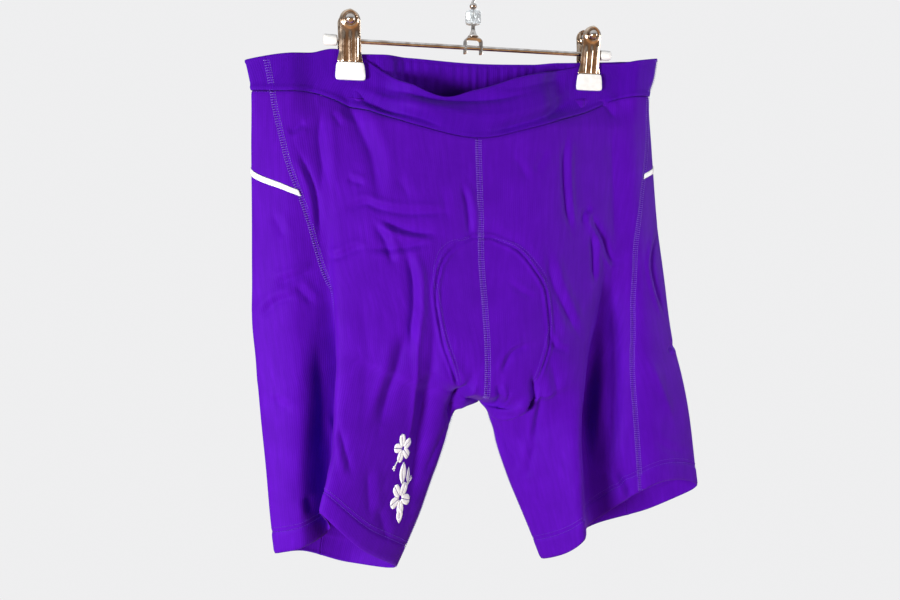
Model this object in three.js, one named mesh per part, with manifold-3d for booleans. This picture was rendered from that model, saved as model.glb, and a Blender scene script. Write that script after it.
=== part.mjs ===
// Short-legged cycling trousers hung by the waistband from a clip hanger.
// Millimetres, +Z up, -Y is the front, +X is the viewer's right (the wearer's left).
// The origin is the inside top of the hanger's hook, where a rail carries it.
import * as THREE from "three";
import { mergeVertices } from "three/addons/utils/BufferGeometryUtils.js";
import Module from "manifold-3d";

const wasm = await Module();
wasm.setup();

// Cloth
const WALL = 1.2; // thickness of a cloth wall
const SEAM_GAP = 0.3; // between two pieces at a seam
const PINCH_DEPTH = 0.75; // middle of a wall held in a clip, from the plane between the layers
const PINCH_FLAT = 28.5; // half width of the cloth that a clip holds flat
const PINCH_REACH = 49; // how far from the clip its hold fades out
const TAPE_WIDTH = 5.4;
const TAPE_WALL = 0.6;
const PAD_WALL = 5; // seat pad, at its middle
const PAD_RIM = 1.2; // seat pad, at its edge

// Hanger
const BAR_Z = -92;
const BAR_RADIUS = 1.9;
const BAR_ENDS = { right: -123, left: 125.5 };
const CAP_LENGTH = 11;
const CAP_RADIUS = 4.3;
const CAP_END = 2.5; // thickness of a cap's closed end
const CLIP_X = { right: -105, left: 107 };
const FIT = 0.3; // clearance between hanger pieces
const SLEEVE_TOP = -109.5;
const SLEEVE_BOTTOM = -123.5;
const SLEEVE_WIDTH = 25;
const SLEEVE_DEPTH = 4;
const JAW_TOP = -69;
const JAW_WALL = 1.2;
const JAW_WIDTH = 18;
const JAW_FOOT_Y = 3.7; // middle of a jaw's plate at the sleeve
const JAW_TOP_Y = 9.2; // middle of a jaw's plate at its eye
const EYE_RADIUS = 4.9;
const WIRE = 1.6; // radius of the hook's wire
const CROOK = 19; // inside radius of the hook's crook

// Ways round one half of the garment, in order: 0 is the centre front, or the inner leg edge
// below the crotch, 5 the outer fold and 8 the centre back, or the inner leg edge again.
const AROUND = ["inner", "belly", "ridge", "valley", "side", "outer", "backOuter", "backMid", "backInner"];
const OUTER = 5;
const BACK_SEAM = 6.4; // where the side panel meets the back panel
const BACK_END = 8;

// Ways down: TOP is the band's top edge, 0 the band's lower seam and 1 the hem.
const TOP = -0.1;
const CROTCH = 0.6;
const WAIST_CENTRE_Z = -168;
const CROTCH_Z = -402;
const LEG_LENGTH = 390; // from the band's seam to the hem

// The centre seam, front and back, at each level down to the crotch.
const CENTRE = table(["v", "x", "frontY", "backY"], [
  [-0.1, -1, -12, 9],
  [-0.05, -1, -17, 10],
  [0, 0, -15, 12],
  [0.12, 0, -20, 18],
  [0.25, 0, -26, 23],
  [0.38, 2, -33, 26],
  [0.48, 3, -37, 25],
  [0.56, 4, -33, 17],
  [0.6, 8, 2, 2],
]);

// One row for each level of a half. x is measured from the middle towards the outer fold.
const COLUMNS = [
  "v", "innerX", "bellyX", "bellyY", "ridgeX", "ridgeY", "valleyX", "valleyY", "sideY",
  "outerX", "backY", "seam",
];
const LEVELS = {
  right: table(COLUMNS, [
    [-0.1, 0, 40, -15, 105, -1, 137, -4, -5, 186, 9, 4.28],
    [-0.05, 0, 44, -19, 105, -5, 136, -5, -5, 184, 10, 4.27],
    [0, 0, 52, -16, 105, -8, 135, -7, -6, 182.5, 11, 4.25],
    [0.12, 0, 55, -20, 108, -13, 133, -10, -9, 184, 17, 3.98],
    [0.25, 0, 56, -26, 112, -17, 131, -12, -12, 186, 22, 3.48],
    [0.38, 0, 56, -32, 116, -22, 129, -12, -14, 187.5, 25, 3.1],
    [0.48, 0, 56, -34, 118, -26, 124, -7, -14, 189.5, 26, 2.62],
    [0.56, 0, 54, -33, 119, -29, 119, -1, -13, 188, 26, 2.6],
    [0.6, -8, 54, -30, 120, -30, 118, 1, -13, 187.5, 26, 2.6],
    [0.62, 15, 60, -27, 120.5, -31, 118, 2, -13, 187, 26, 2.6],
    [0.7, 26, 70, -24, 124, -34, 121, 4, -12, 185.5, 27, 2.6],
    [0.85, 46, 90, -27, 129.5, -38, 127, 6, -12, 182, 29, 2.6],
    [0.92, 58, 98, -28, 135, -39, 128.5, 4.5, -12, 180.5, 30, 2.6],
    [1, 72, 108, -29, 142, -40, 131, 1, -12, 178.5, 31, 2.6],
  ]),
  left: table(COLUMNS, [
    [-0.1, 0, 42, -12, 107, -1, 137, -4, -5, 174, 9, 4.8],
    [-0.05, 0, 44, -17, 106, -5, 135, -5, -5, 172, 10, 4.8],
    [0, 0, 46, -15, 100, -8, 132, -7, -6, 168, 11, 4.7],
    [0.12, 0, 48, -20, 100, -13, 133, -10, -9, 172, 17, 4.45],
    [0.25, 0, 50, -26, 102, -17, 134, -12, -12, 179, 22, 4.05],
    [0.38, 0, 50, -32, 102, -20, 133, -11, -14, 187, 25, 3.7],
    [0.48, 0, 50, -36, 100, -24, 130, -8, -14, 194.5, 26, 3.69],
    [0.56, 0, 48, -38, 94.5, -29, 124, -3, -15, 201.5, 26, 3.75],
    [0.6, 8, 46, -36, 93, -31, 122, -1, -16, 205.5, 26, 3.75],
    [0.62, 16, 45, -29, 92.5, -32, 121, 0, -16, 208, 26, 3.74],
    [0.7, 25.5, 54, -17, 91.5, -34, 118, 2, -17, 217.5, 26, 3.74],
    [0.85, 49.5, 69, -18, 94, -36, 120, 4, -18, 232, 27, 3.74],
    [1, 74.5, 86, -20, 99, -36, 128, 4, -16, 242, 28, 3.72],
  ]),
};

// Heights of the top edge, the band's lower seam and the hem, for each way round.
const HEIGHTS = {
  right: heights([
    ["inner", -129, WAIST_CENTRE_Z, -556],
    ["belly", -134, -159, -516],
    ["ridge", -101, -143, -475],
    ["valley", -103, -134, -510],
    ["side", -106, -134, -518],
    ["outer", -111, -134, -526],
    ["backOuter", -105, -135, -538],
    ["backMid", -101, -137, -559],
    ["backInner", -103, -138, -556],
  ]),
  left: heights([
    ["inner", -129, WAIST_CENTRE_Z, -565],
    ["belly", -116, -159, -552.5],
    ["ridge", -101, -144, -533],
    ["valley", -98, -131, -537],
    ["side", -95, -127, -494],
    ["outer", -92, -126, -510],
    ["backOuter", -97, -128, -537],
    ["backMid", -101, -134, -553],
    ["backInner", -103, -138, -565],
  ]),
};

// The reflective tape's level at the seams of the side panel and at the outer fold.
const TAPE = { right: { seam: 0.212, fold: 0.158 }, left: { seam: 0.197, fold: 0.166 } };

// Half widths of the seat pad from the centre seam, on each side.
const PAD = table(["v", "right", "left"], [
  [0.215, 8, 9],
  [0.24, 27, 31],
  [0.28, 38, 45],
  [0.34, 43, 57],
  [0.43, 39, 59],
  [0.52, 28, 48],
  [0.585, 22, 36],
]);
const PAD_BACK_TOP = 0.24;
const PAD_LOWEST = 0.55;

const SIDE_SIGN = { right: -1, left: 1 };
const OTHER = { right: "left", left: "right" };

// Tables and curves

function table(names, rows) {
  const columns = {};
  names.forEach((name, i) => (columns[name] = rows.map((row) => row[i])));
  return columns;
}

function heights(rows) {
  return table(["name", "top", "waist", "hem"], rows);
}

function mix(a, b, t) {
  return a + (b - a) * t;
}

function smooth(from, to, x) {
  const t = Math.min(1, Math.max(0, (x - from) / (to - from)));
  return t * t * (3 - 2 * t);
}

// Slope of a table's column at row i, which never overshoots its neighbours.
function slope(xs, ys, i) {
  if (i === 0 || i === xs.length - 1) {
    const j = i === 0 ? 0 : i - 1;
    return (ys[j + 1] - ys[j]) / (xs[j + 1] - xs[j]);
  }
  const before = (ys[i] - ys[i - 1]) / (xs[i] - xs[i - 1]);
  const after = (ys[i + 1] - ys[i]) / (xs[i + 1] - xs[i]);
  return before * after <= 0 ? 0 : (2 * before * after) / (before + after);
}

// Value of a table's column at level v, by cubic pieces.
function read(columns, name, v) {
  const xs = columns.v;
  const ys = columns[name];
  let i = 0;
  while (i < xs.length - 2 && v > xs[i + 1]) i += 1;
  const h = xs[i + 1] - xs[i];
  const t = Math.min(1, Math.max(0, (v - xs[i]) / h));
  const rise = ys[i + 1] - ys[i];
  const a = slope(xs, ys, i) * h - rise;
  const b = rise - slope(xs, ys, i + 1) * h;
  return ys[i] + rise * t + t * (1 - t) * (a * (1 - t) + b * t);
}

function catmullRom(p0, p1, p2, p3, t) {
  const step = p2.clone().sub(p0).multiplyScalar(0.5);
  const next = p3.clone().sub(p1).multiplyScalar(0.5);
  const t2 = t * t;
  const t3 = t2 * t;
  return p1.clone().multiplyScalar(2 * t3 - 3 * t2 + 1)
    .addScaledVector(step, t3 - 2 * t2 + t)
    .addScaledVector(p2, 3 * t2 - 2 * t3)
    .addScaledVector(next, t3 - t2);
}

// The garment's surface

function heightAt(side, station, v) {
  const { top, waist, hem } = HEIGHTS[side];
  if (v < 0) return mix(waist[station], top[station], v / TOP);
  const centre = station === 0 || station === BACK_END;
  if (!centre) return mix(waist[station], hem[station], v);
  if (v < CROTCH) return mix(waist[station], CROTCH_Z, v / CROTCH);
  return mix(CROTCH_Z, hem[station], (v - CROTCH) / (1 - CROTCH));
}

function stationPoint(side, station, v) {
  const row = (name) => read(LEVELS[side], name, v);
  const sign = SIDE_SIGN[side];
  const above = v <= CROTCH;
  const innerX = above ? read(CENTRE, "x", v) : sign * row("innerX");
  const fold = sign * row("outerX");
  const y = {
    inner: () => (above ? read(CENTRE, "frontY", v) : 2 + 2 * smooth(CROTCH, 0.7, v)),
    belly: () => row("bellyY"),
    ridge: () => row("ridgeY"),
    valley: () => row("valleyY"),
    side: () => row("sideY"),
    outer: () => 1,
    backOuter: () => 0.72 * row("backY"),
    backMid: () => row("backY"),
    backInner: () => (above ? read(CENTRE, "backY", v) : 2 + 2 * smooth(CROTCH, 0.7, v)),
  };
  const x = {
    inner: () => innerX,
    belly: () => sign * row("bellyX"),
    ridge: () => sign * row("ridgeX"),
    valley: () => sign * row("valleyX"),
    side: () => mix(sign * row("valleyX"), fold, 0.52),
    outer: () => fold,
    backOuter: () => mix(fold, innerX, 0.24),
    backMid: () => mix(fold, innerX, 0.62),
    backInner: () => innerX,
  };
  const name = AROUND[station];
  return new THREE.Vector3(x[name](), y[name](), heightAt(side, station, v));
}

// A station before the first or after the last lies on the other half above the crotch, and
// on the same leg below it.
function neighbour(side, station, v) {
  const first = station < 0;
  const across = stationPoint(OTHER[side], first ? -station : 2 * BACK_END - station, v);
  const round = stationPoint(side, first ? BACK_END + station : station - BACK_END, v);
  return across.lerp(round, smooth(CROTCH - 0.04, CROTCH + 0.02, v));
}

function anyStation(side, station, v) {
  const inside = station >= 0 && station <= BACK_END;
  return inside ? stationPoint(side, station, v) : neighbour(side, station, v);
}

// The two layers are pressed together where a clip holds them.
function pinch(point, back) {
  for (const clip of Object.values(CLIP_X)) {
    const across = 1 - smooth(PINCH_FLAT, PINCH_REACH, Math.abs(point.x - clip));
    const down = smooth(-158, -131, point.z);
    const rest = (back ? 1 : -1) * PINCH_DEPTH;
    point.y = mix(point.y, rest, across * down);
  }
  return point;
}

function insideHalf(side, u, v) {
  const i = Math.min(BACK_END - 1, Math.max(0, Math.floor(u)));
  const points = [-1, 0, 1, 2].map((k) => anyStation(side, i + k, v));
  return pinch(catmullRom(...points, u - i), u > OUTER);
}

// A point of the surface. u may run a little past the centre seams.
function surface(side, u, v) {
  if (u >= 0 && u <= BACK_END) return insideHalf(side, u, v);
  const past = u < 0 ? -u : u - BACK_END;
  if (v < CROTCH + 0.001) return insideHalf(OTHER[side], u < 0 ? past : BACK_END - past, v);
  return insideHalf(side, u < 0 ? BACK_END - past : past, v);
}

// Above the crotch no slope is taken past it, so that both halves agree along the centre seam.
function normalAt(side, u, v) {
  const e = 0.02;
  const f = 0.004;
  const lowest = v < CROTCH + 0.001 ? CROTCH : 1;
  const along = surface(side, u + e, v).sub(surface(side, u - e, v));
  const down = surface(side, u, Math.min(lowest, v + f)).sub(surface(side, u, Math.max(TOP, v - f)));
  return along.cross(down).multiplyScalar(-SIDE_SIGN[side]).normalize();
}

// Closed meshes

function signedVolume(points, faces) {
  return faces.reduce((sum, [a, b, c]) => sum + points[a].dot(points[b].clone().cross(points[c])), 0);
}

function closedGeometry(points, faces) {
  const outward = signedVolume(points, faces) > 0;
  const index = faces.flatMap(([a, b, c]) => (outward ? [a, b, c] : [a, c, b]));
  const geometry = new THREE.BufferGeometry().setFromPoints(points);
  geometry.setIndex(index);
  geometry.computeVertexNormals();
  return geometry;
}

// A wall through a grid of rows of { point, normal, thickness }.
function wallGeometry(grid) {
  const rows = grid.length;
  const cols = grid[0].length;
  const points = [];
  const id = (i, j, layer) => (i * cols + j) * 2 + layer;
  for (const row of grid) {
    for (const { point, normal, thickness } of row) {
      points.push(point.clone().addScaledVector(normal, thickness / 2));
      points.push(point.clone().addScaledVector(normal, -thickness / 2));
    }
  }
  const faces = [];
  const quad = (a, b, c, d) => faces.push([a, b, c], [a, c, d]);
  for (let i = 0; i < rows - 1; i += 1) {
    for (let j = 0; j < cols - 1; j += 1) {
      quad(id(i, j, 0), id(i + 1, j, 0), id(i + 1, j + 1, 0), id(i, j + 1, 0));
      quad(id(i, j, 1), id(i, j + 1, 1), id(i + 1, j + 1, 1), id(i + 1, j, 1));
    }
  }
  // Edges that meet along a seam are split along the same diagonal.
  for (let j = 0; j < cols - 1; j += 1) {
    quad(id(0, j, 0), id(0, j + 1, 0), id(0, j + 1, 1), id(0, j, 1));
    quad(id(rows - 1, j, 0), id(rows - 1, j, 1), id(rows - 1, j + 1, 1), id(rows - 1, j + 1, 0));
  }
  for (let i = 0; i < rows - 1; i += 1) {
    quad(id(i, 0, 0), id(i, 0, 1), id(i + 1, 0, 1), id(i + 1, 0, 0));
    quad(id(i, cols - 1, 0), id(i + 1, cols - 1, 0), id(i + 1, cols - 1, 1), id(i, cols - 1, 1));
  }
  return closedGeometry(points, faces);
}

// Panels

function joinLevel(side, share) {
  return mix(TAPE[side].fold, TAPE[side].seam, Math.abs(2 * share - 1));
}

const seamAt = (side) => (v) => read(LEVELS[side], "seam", v);
const fixed = (value) => () => value;

// Share of a row or column that half a seam gap takes.
function inset(from, to) {
  return SEAM_GAP / 2 / Math.max(1, from.distanceTo(to));
}

function rowLength(at) {
  let sum = 0;
  const steps = 10;
  for (let k = 0; k < steps; k += 1) sum += at(k / steps).distanceTo(at((k + 1) / steps));
  return sum;
}

// A grid over one stretch of a half, half a seam gap inside its edges. Near the crotch, where
// four panels meet, the corners stand a little further back.
function stretchGrid(side, stretch) {
  const { uFrom, uTo, vFrom, vTo, cols, rows, lift = 0, thickness = WALL, folded = false } = stretch;
  const level = (s, t) => mix(vFrom(s), vTo(s), t);
  const way = (s, v) => {
    if (!folded) return mix(uFrom(v), uTo(v), s);
    return s < 0.5 ? mix(uFrom(v), OUTER, 2 * s) : mix(OUTER, uTo(v), 2 * s - 1);
  };
  const columnInset = inset(surface(side, way(0.5, vFrom(0.5)), vFrom(0.5)),
    surface(side, way(0.5, vTo(0.5)), vTo(0.5)));
  const grid = [];
  for (const t0 of rows) {
    const t = mix(columnInset, 1 - columnInset, t0);
    const v = level(0.5, t);
    const length = rowLength((s) => surface(side, way(s, level(s, t)), level(s, t)));
    const corner = 1.6 * Math.exp(-(((v - CROTCH) / 0.03) ** 2));
    const e = (SEAM_GAP / 2 + corner) / length;
    const row = [];
    for (let j = 0; j <= cols; j += 1) {
      const s = mix(e, 1 - e, j / cols);
      const u = way(s, level(s, t));
      const normal = normalAt(side, u, level(s, t));
      const point = surface(side, u, level(s, t)).addScaledVector(normal, lift);
      row.push({ point, normal, thickness });
    }
    grid.push(row);
  }
  return grid;
}

const even = (count) => Array.from({ length: count + 1 }, (_, i) => i / count);

// Levels of the rows of a half's leg panels: one is at the tape and one at the crotch.
const ROWS_TO_TAPE = 4;
const FRONT_COLS = 12;
function legLevels(side) {
  const tape = TAPE[side].seam;
  return [
    ...even(ROWS_TO_TAPE).map((t) => t * tape),
    ...even(8).slice(1).map((t) => mix(tape, CROTCH, t)),
    ...even(9).slice(1).map((t) => mix(CROTCH, 1, t)),
  ];
}

function bandGrid(sides, uFrom, uTo, cols) {
  const parts = sides.map((side) => stretchGrid(side, {
    uFrom: uFrom(side), uTo: uTo(side), vFrom: fixed(TOP), vTo: fixed(0), cols, rows: even(4),
  }));
  return parts[0].map((row, i) => [...row].reverse().concat(parts[1][i].slice(1)));
}

// Seat pad

function wayAt(side, x, v, back) {
  let near = back ? BACK_END : 0;
  let far = back ? OUTER + 1 : 2;
  for (let k = 0; k < 24; k += 1) {
    const middle = (near + far) / 2;
    const short = (insideHalf(side, middle, v).x - x) * SIDE_SIGN[side] < 0;
    if (short) near = middle;
    else far = middle;
  }
  return (near + far) / 2;
}

function padRow(v, back) {
  const row = [];
  const centre = read(CENTRE, "x", v);
  for (let k = -5; k <= 5; k += 1) {
    const side = k < 0 ? "right" : "left";
    const share = Math.abs(k) / 5;
    const x = centre + SIDE_SIGN[side] * share * read(PAD, side, Math.max(v, PAD.v[0]));
    const u = k === 0 ? (back ? BACK_END : 0) : wayAt(side, x, v, back);
    const normal = normalAt(side, u, v);
    const ends = smooth(PAD.v[0], PAD.v[0] + 0.06, v);
    const thickness = mix(PAD_RIM, PAD_WALL, (1 - share ** 3) * ends);
    const inward = WALL / 2 + SEAM_GAP + thickness / 2 + 4 * smooth(0.42, PAD_LOWEST, v);
    const point = surface(side, u, v).addScaledVector(normal, -inward);
    row.push({ point, normal, thickness });
  }
  return row;
}

function padGrid() {
  const front = even(10).map((t) => padRow(mix(PAD.v[0], PAD_LOWEST, t), false));
  const back = even(8).map((t) => padRow(mix(PAD_LOWEST, PAD_BACK_TOP, t), true));
  return front.concat(back);
}

// Hanger

function solidOf(geometry) {
  const bare = geometry.clone();
  bare.deleteAttribute("normal");
  bare.deleteAttribute("uv");
  const merged = mergeVertices(bare, 1e-4);
  return new wasm.Manifold(new wasm.Mesh({
    numProp: 3,
    vertProperties: merged.attributes.position.array,
    triVerts: new Uint32Array(merged.index.array),
  }));
}

function geometryOf(solid) {
  const mesh = solid.getMesh();
  const geometry = new THREE.BufferGeometry();
  geometry.setAttribute("position", new THREE.BufferAttribute(mesh.vertProperties, 3));
  geometry.setIndex(new THREE.BufferAttribute(mesh.triVerts, 1));
  geometry.computeVertexNormals();
  return geometry;
}

// A bar along X from one x to another.
function rod(from, to, radius, sides = 16) {
  return new THREE.CylinderGeometry(radius, radius, to - from, sides)
    .rotateZ(Math.PI / 2)
    .translate((from + to) / 2, 0, BAR_Z);
}

// A closed tube along X, with a closed end where `cap` is above 0.
function tubeAlongX(from, length, bore, radius, cap = 0) {
  const profile = [
    [cap > 0 ? 0 : bore, 0], [radius, 0], [radius, length], [bore, length],
  ];
  if (cap > 0) profile.push([bore, cap], [0, cap]);
  const outline = profile.map(([r, h]) => new THREE.Vector2(r, h));
  outline.push(outline[0].clone());
  return new THREE.LatheGeometry(outline, 20).rotateZ(-Math.PI / 2).translate(from, 0, BAR_Z);
}

function jawOutline() {
  const height = JAW_TOP - SLEEVE_TOP - FIT;
  const shape = new THREE.Shape();
  const half = JAW_WIDTH / 2;
  const eye = height - EYE_RADIUS - 2.4;
  shape.moveTo(-half - 1.5, 0);
  shape.lineTo(half + 1.5, 0);
  shape.lineTo(half, 9);
  shape.lineTo(half - 0.6, eye);
  shape.absarc(0, eye, half - 0.6, 0, Math.PI, false);
  shape.lineTo(-half, 9);
  shape.closePath();
  const hole = new THREE.Path();
  hole.absarc(0, eye, EYE_RADIUS, 0, 2 * Math.PI, true);
  shape.holes.push(hole);
  return { shape, eye };
}

// The plate stands on the sleeve and leans away from the other jaw.
function jawGeometry(face) {
  const { shape } = jawOutline();
  const rise = JAW_TOP - SLEEVE_TOP;
  const lean = Math.atan2(JAW_TOP_Y - JAW_FOOT_Y, rise);
  const geometry = new THREE.ExtrudeGeometry(shape, {
    depth: JAW_WALL, bevelEnabled: false, curveSegments: 10,
  });
  return geometry.translate(0, 0, -JAW_WALL / 2)
    .rotateX(Math.PI / 2 - face * lean)
    .translate(0, face * JAW_FOOT_Y, SLEEVE_TOP + FIT);
}

// A stud through the eyes of both jaws, with a round head in each.
function studGeometry() {
  const { eye } = jawOutline();
  const rise = JAW_TOP - SLEEVE_TOP;
  const lean = Math.atan2(JAW_TOP_Y - JAW_FOOT_Y, rise);
  const y = JAW_FOOT_Y + eye * Math.sin(lean);
  const z = SLEEVE_TOP + FIT + eye * Math.cos(lean);
  const head = EYE_RADIUS - 0.5;
  const pin = 1.4;
  const profile = [];
  for (let k = 0; k <= 8; k += 1) {
    const angle = mix(0, Math.PI - Math.asin(pin / head), k / 8);
    profile.push(new THREE.Vector2(head * Math.sin(angle), y + head * Math.cos(angle)));
  }
  const mirrored = profile.map((p) => new THREE.Vector2(p.x, -p.y)).reverse();
  return new THREE.LatheGeometry([...profile, ...mirrored].reverse(), 16).translate(0, 0, z);
}

function sleeveGeometry(face) {
  const inner = PINCH_DEPTH + WALL / 2 + FIT;
  const shape = new THREE.Shape();
  const half = SLEEVE_WIDTH / 2;
  const r = 2.5;
  const height = SLEEVE_TOP - SLEEVE_BOTTOM;
  shape.moveTo(-half + r, 0);
  shape.lineTo(half - r, 0);
  shape.absarc(half - r, r, r, -Math.PI / 2, 0, false);
  shape.lineTo(half - 1, height);
  shape.lineTo(-half + 1, height);
  shape.lineTo(-half, r);
  shape.absarc(-half + r, r, r, Math.PI, 1.5 * Math.PI, false);
  const geometry = new THREE.ExtrudeGeometry(shape, {
    depth: SLEEVE_DEPTH, bevelEnabled: false, curveSegments: 5,
  });
  const middle = face * (inner + SLEEVE_DEPTH / 2);
  return geometry.translate(0, 0, -SLEEVE_DEPTH / 2)
    .rotateX(Math.PI / 2)
    .translate(0, middle, SLEEVE_BOTTOM);
}

// A bridge over the bar, with the bar through both of its legs.
const BRIDGE = { top: -83.5, bottom: -97, half: 8, leg: 2, depth: 6 };

function bridgeGeometry() {
  const { top, bottom, half, leg, depth } = BRIDGE;
  const shape = new THREE.Shape();
  shape.moveTo(-half, bottom);
  shape.lineTo(-half + leg, bottom);
  shape.lineTo(-half + leg, top - 2.5);
  shape.lineTo(half - leg, top - 2.5);
  shape.lineTo(half - leg, bottom);
  shape.lineTo(half, bottom);
  shape.lineTo(half, top - 2);
  shape.lineTo(half - 2, top);
  shape.lineTo(-half + 2, top);
  shape.lineTo(-half, top - 2);
  shape.closePath();
  const block = new THREE.ExtrudeGeometry(shape, { depth, bevelEnabled: false })
    .translate(0, 0, -depth / 2)
    .rotateX(Math.PI / 2);
  const hole = rod(-half - 1, half + 1, BAR_RADIUS + FIT, 16);
  return geometryOf(solidOf(block).subtract(solidOf(hole)));
}

const BEAD = { bottom: -73, top: -62, radius: 6.5 };

// The stem rises from the bridge and swings to the left of the crook.
function hookGeometry() {
  const r = CROOK + WIRE;
  const points = [
    new THREE.Vector3(0, 0, BRIDGE.top + FIT),
    new THREE.Vector3(0, 0, -70),
    new THREE.Vector3(0, 0, -62),
    new THREE.Vector3(0, 0, -55),
    new THREE.Vector3(5, 0, -45),
    new THREE.Vector3(15, 0, -34),
  ];
  for (let degrees = -10; degrees <= 205; degrees += 15) {
    const angle = THREE.MathUtils.degToRad(degrees);
    points.push(new THREE.Vector3(r * Math.cos(angle), 0, r * Math.sin(angle) - CROOK));
  }
  const section = new THREE.Shape();
  section.absarc(0, 0, WIRE, 0, 2 * Math.PI, false);
  return new THREE.ExtrudeGeometry(section, {
    steps: 44, curveSegments: 5, bevelEnabled: false,
    extrudePath: new THREE.CatmullRomCurve3(points, false, "centripetal"),
  });
}

function beadGeometry() {
  const { bottom, top, radius } = BEAD;
  const bore = WIRE + FIT;
  const outline = [
    [bore, bottom], [radius - 1.2, bottom], [radius, bottom + 1.2], [radius, top - 1.2],
    [radius - 1.2, top], [bore, top], [bore, bottom],
  ];
  const profile = outline.map(([x, z]) => new THREE.Vector2(x, z));
  return new THREE.LatheGeometry(profile, 24).rotateX(Math.PI / 2);
}

// Materials and the finished group

const finish = (color, roughness, metalness = 0) => () =>
  new THREE.MeshStandardMaterial({ color, roughness, metalness });
const CLOTH = finish(0x5a17b4, 0.6);
const REFLECTIVE = finish(0xe8e8ec, 0.4);
const PADDING = finish(0x4a129a, 0.85);
const CHROME = finish(0xc8c8cc, 0.2, 1);
const VINYL = finish(0xf2f2ee, 0.5);
const CLEAR = finish(0xe6eef0, 0.1);

const part = new THREE.Group();

function add(name, geometry, material, parent = part) {
  const mesh = new THREE.Mesh(geometry, material());
  mesh.name = name;
  parent.add(mesh);
}

function addShorts() {
  const ends = fixed(0);
  add("waistband_front", wallGeometry(bandGrid(["right", "left"], () => ends, seamAt, FRONT_COLS)), CLOTH);
  add("waistband_back", wallGeometry(
    bandGrid(["right", "left"], () => fixed(BACK_END), seamAt, 22)), CLOTH);
  for (const side of ["right", "left"]) {
    const seam = seamAt(side);
    const levels = legLevels(side);
    const tape = TAPE[side].seam;
    const leg = { vFrom: fixed(0), vTo: fixed(1), rows: levels };
    add(`front_${side}`, wallGeometry(stretchGrid(side, {
      ...leg, uFrom: fixed(0), uTo: seam, cols: FRONT_COLS,
    })), CLOTH);
    add(`back_${side}`, wallGeometry(stretchGrid(side, {
      ...leg, uFrom: fixed(BACK_SEAM), uTo: fixed(BACK_END), cols: 6,
    })), CLOTH);
    const join = (s) => joinLevel(side, s);
    const width = { uFrom: seam, uTo: fixed(BACK_SEAM), cols: 8, folded: true };
    const upper = levels.slice(0, ROWS_TO_TAPE + 1).map((v) => v / tape);
    const lower = levels.slice(ROWS_TO_TAPE).map((v) => (v - tape) / (1 - tape));
    add(`side_upper_${side}`, wallGeometry(stretchGrid(side, {
      ...width, vFrom: fixed(0), vTo: join, rows: upper,
    })), CLOTH);
    add(`side_lower_${side}`, wallGeometry(stretchGrid(side, {
      ...width, vFrom: join, vTo: fixed(1), rows: lower,
    })), CLOTH);
    const half = TAPE_WIDTH / 2 / LEG_LENGTH;
    add(`strip_${side}`, wallGeometry(stretchGrid(side, {
      ...width, vFrom: (s) => join(s) - half, vTo: (s) => join(s) + half, rows: even(1),
      lift: WALL / 2 + SEAM_GAP + TAPE_WALL / 2, thickness: TAPE_WALL,
    })), REFLECTIVE);
  }
  add("seat_pad", wallGeometry(padGrid()), PADDING);
}

function addClip(side) {
  const clip = new THREE.Group();
  clip.position.x = CLIP_X[side];
  for (const [face, word] of [[-1, "front"], [1, "back"]]) {
    add(`clip_jaw_${word}_${side}`, jawGeometry(face), CHROME, clip);
    add(`clip_sleeve_${word}_${side}`, sleeveGeometry(face), VINYL, clip);
  }
  add(`clip_stud_${side}`, studGeometry(), CHROME, clip);
  add(`clip_spring_${side}`, tubeAlongX(-6, 12, BAR_RADIUS + FIT, 4.6), CHROME, clip);
  part.add(clip);
}

function addHanger() {
  add("bar", rod(BAR_ENDS.right, BAR_ENDS.left, BAR_RADIUS), CHROME);
  const cap = () => tubeAlongX(0, CAP_LENGTH, BAR_RADIUS + FIT, CAP_RADIUS, CAP_END);
  const right = cap().translate(BAR_ENDS.right - CAP_END - FIT, 0, 0);
  const left = cap()
    .translate(0, 0, -BAR_Z).rotateZ(Math.PI).translate(BAR_ENDS.left + CAP_END + FIT, 0, BAR_Z);
  add("end_cap_right", right, VINYL);
  add("end_cap_left", left, VINYL);
  add("bridge", bridgeGeometry(), CHROME);
  add("hook", hookGeometry(), CHROME);
  add("bead", beadGeometry(), CLEAR);
  addClip("right");
  addClip("left");
}

addShorts();
addHanger();

export default part;
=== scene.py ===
import math

import bmesh
import bpy
import numpy as np
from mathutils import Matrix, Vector


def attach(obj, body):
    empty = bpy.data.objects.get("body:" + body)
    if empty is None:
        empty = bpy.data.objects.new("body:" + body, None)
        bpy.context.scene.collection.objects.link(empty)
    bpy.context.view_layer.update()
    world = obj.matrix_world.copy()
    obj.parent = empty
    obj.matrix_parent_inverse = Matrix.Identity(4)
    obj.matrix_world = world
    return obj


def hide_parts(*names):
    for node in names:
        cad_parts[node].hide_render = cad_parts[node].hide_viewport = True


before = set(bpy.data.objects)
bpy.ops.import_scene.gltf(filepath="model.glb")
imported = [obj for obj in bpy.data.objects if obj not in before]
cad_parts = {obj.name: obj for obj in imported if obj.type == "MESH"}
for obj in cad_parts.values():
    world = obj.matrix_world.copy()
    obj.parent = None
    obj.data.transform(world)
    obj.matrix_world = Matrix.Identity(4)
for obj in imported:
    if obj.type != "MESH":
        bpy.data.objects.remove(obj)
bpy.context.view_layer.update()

# Looks of the cycling trousers on their clip hanger. The tables and the surface are the CAD
# part's own, in millimetres, and new_object writes every mesh in metres.
MM = 0.001

# Camera, which stands a little to the left of the garment and looks slightly down
CAMERA_AT = (-0.17937, -0.59381, -0.22004)
CAMERA_YAW = 15.0
CAMERA_PITCH = -8.13
CAMERA_LENS = 28.0

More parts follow.
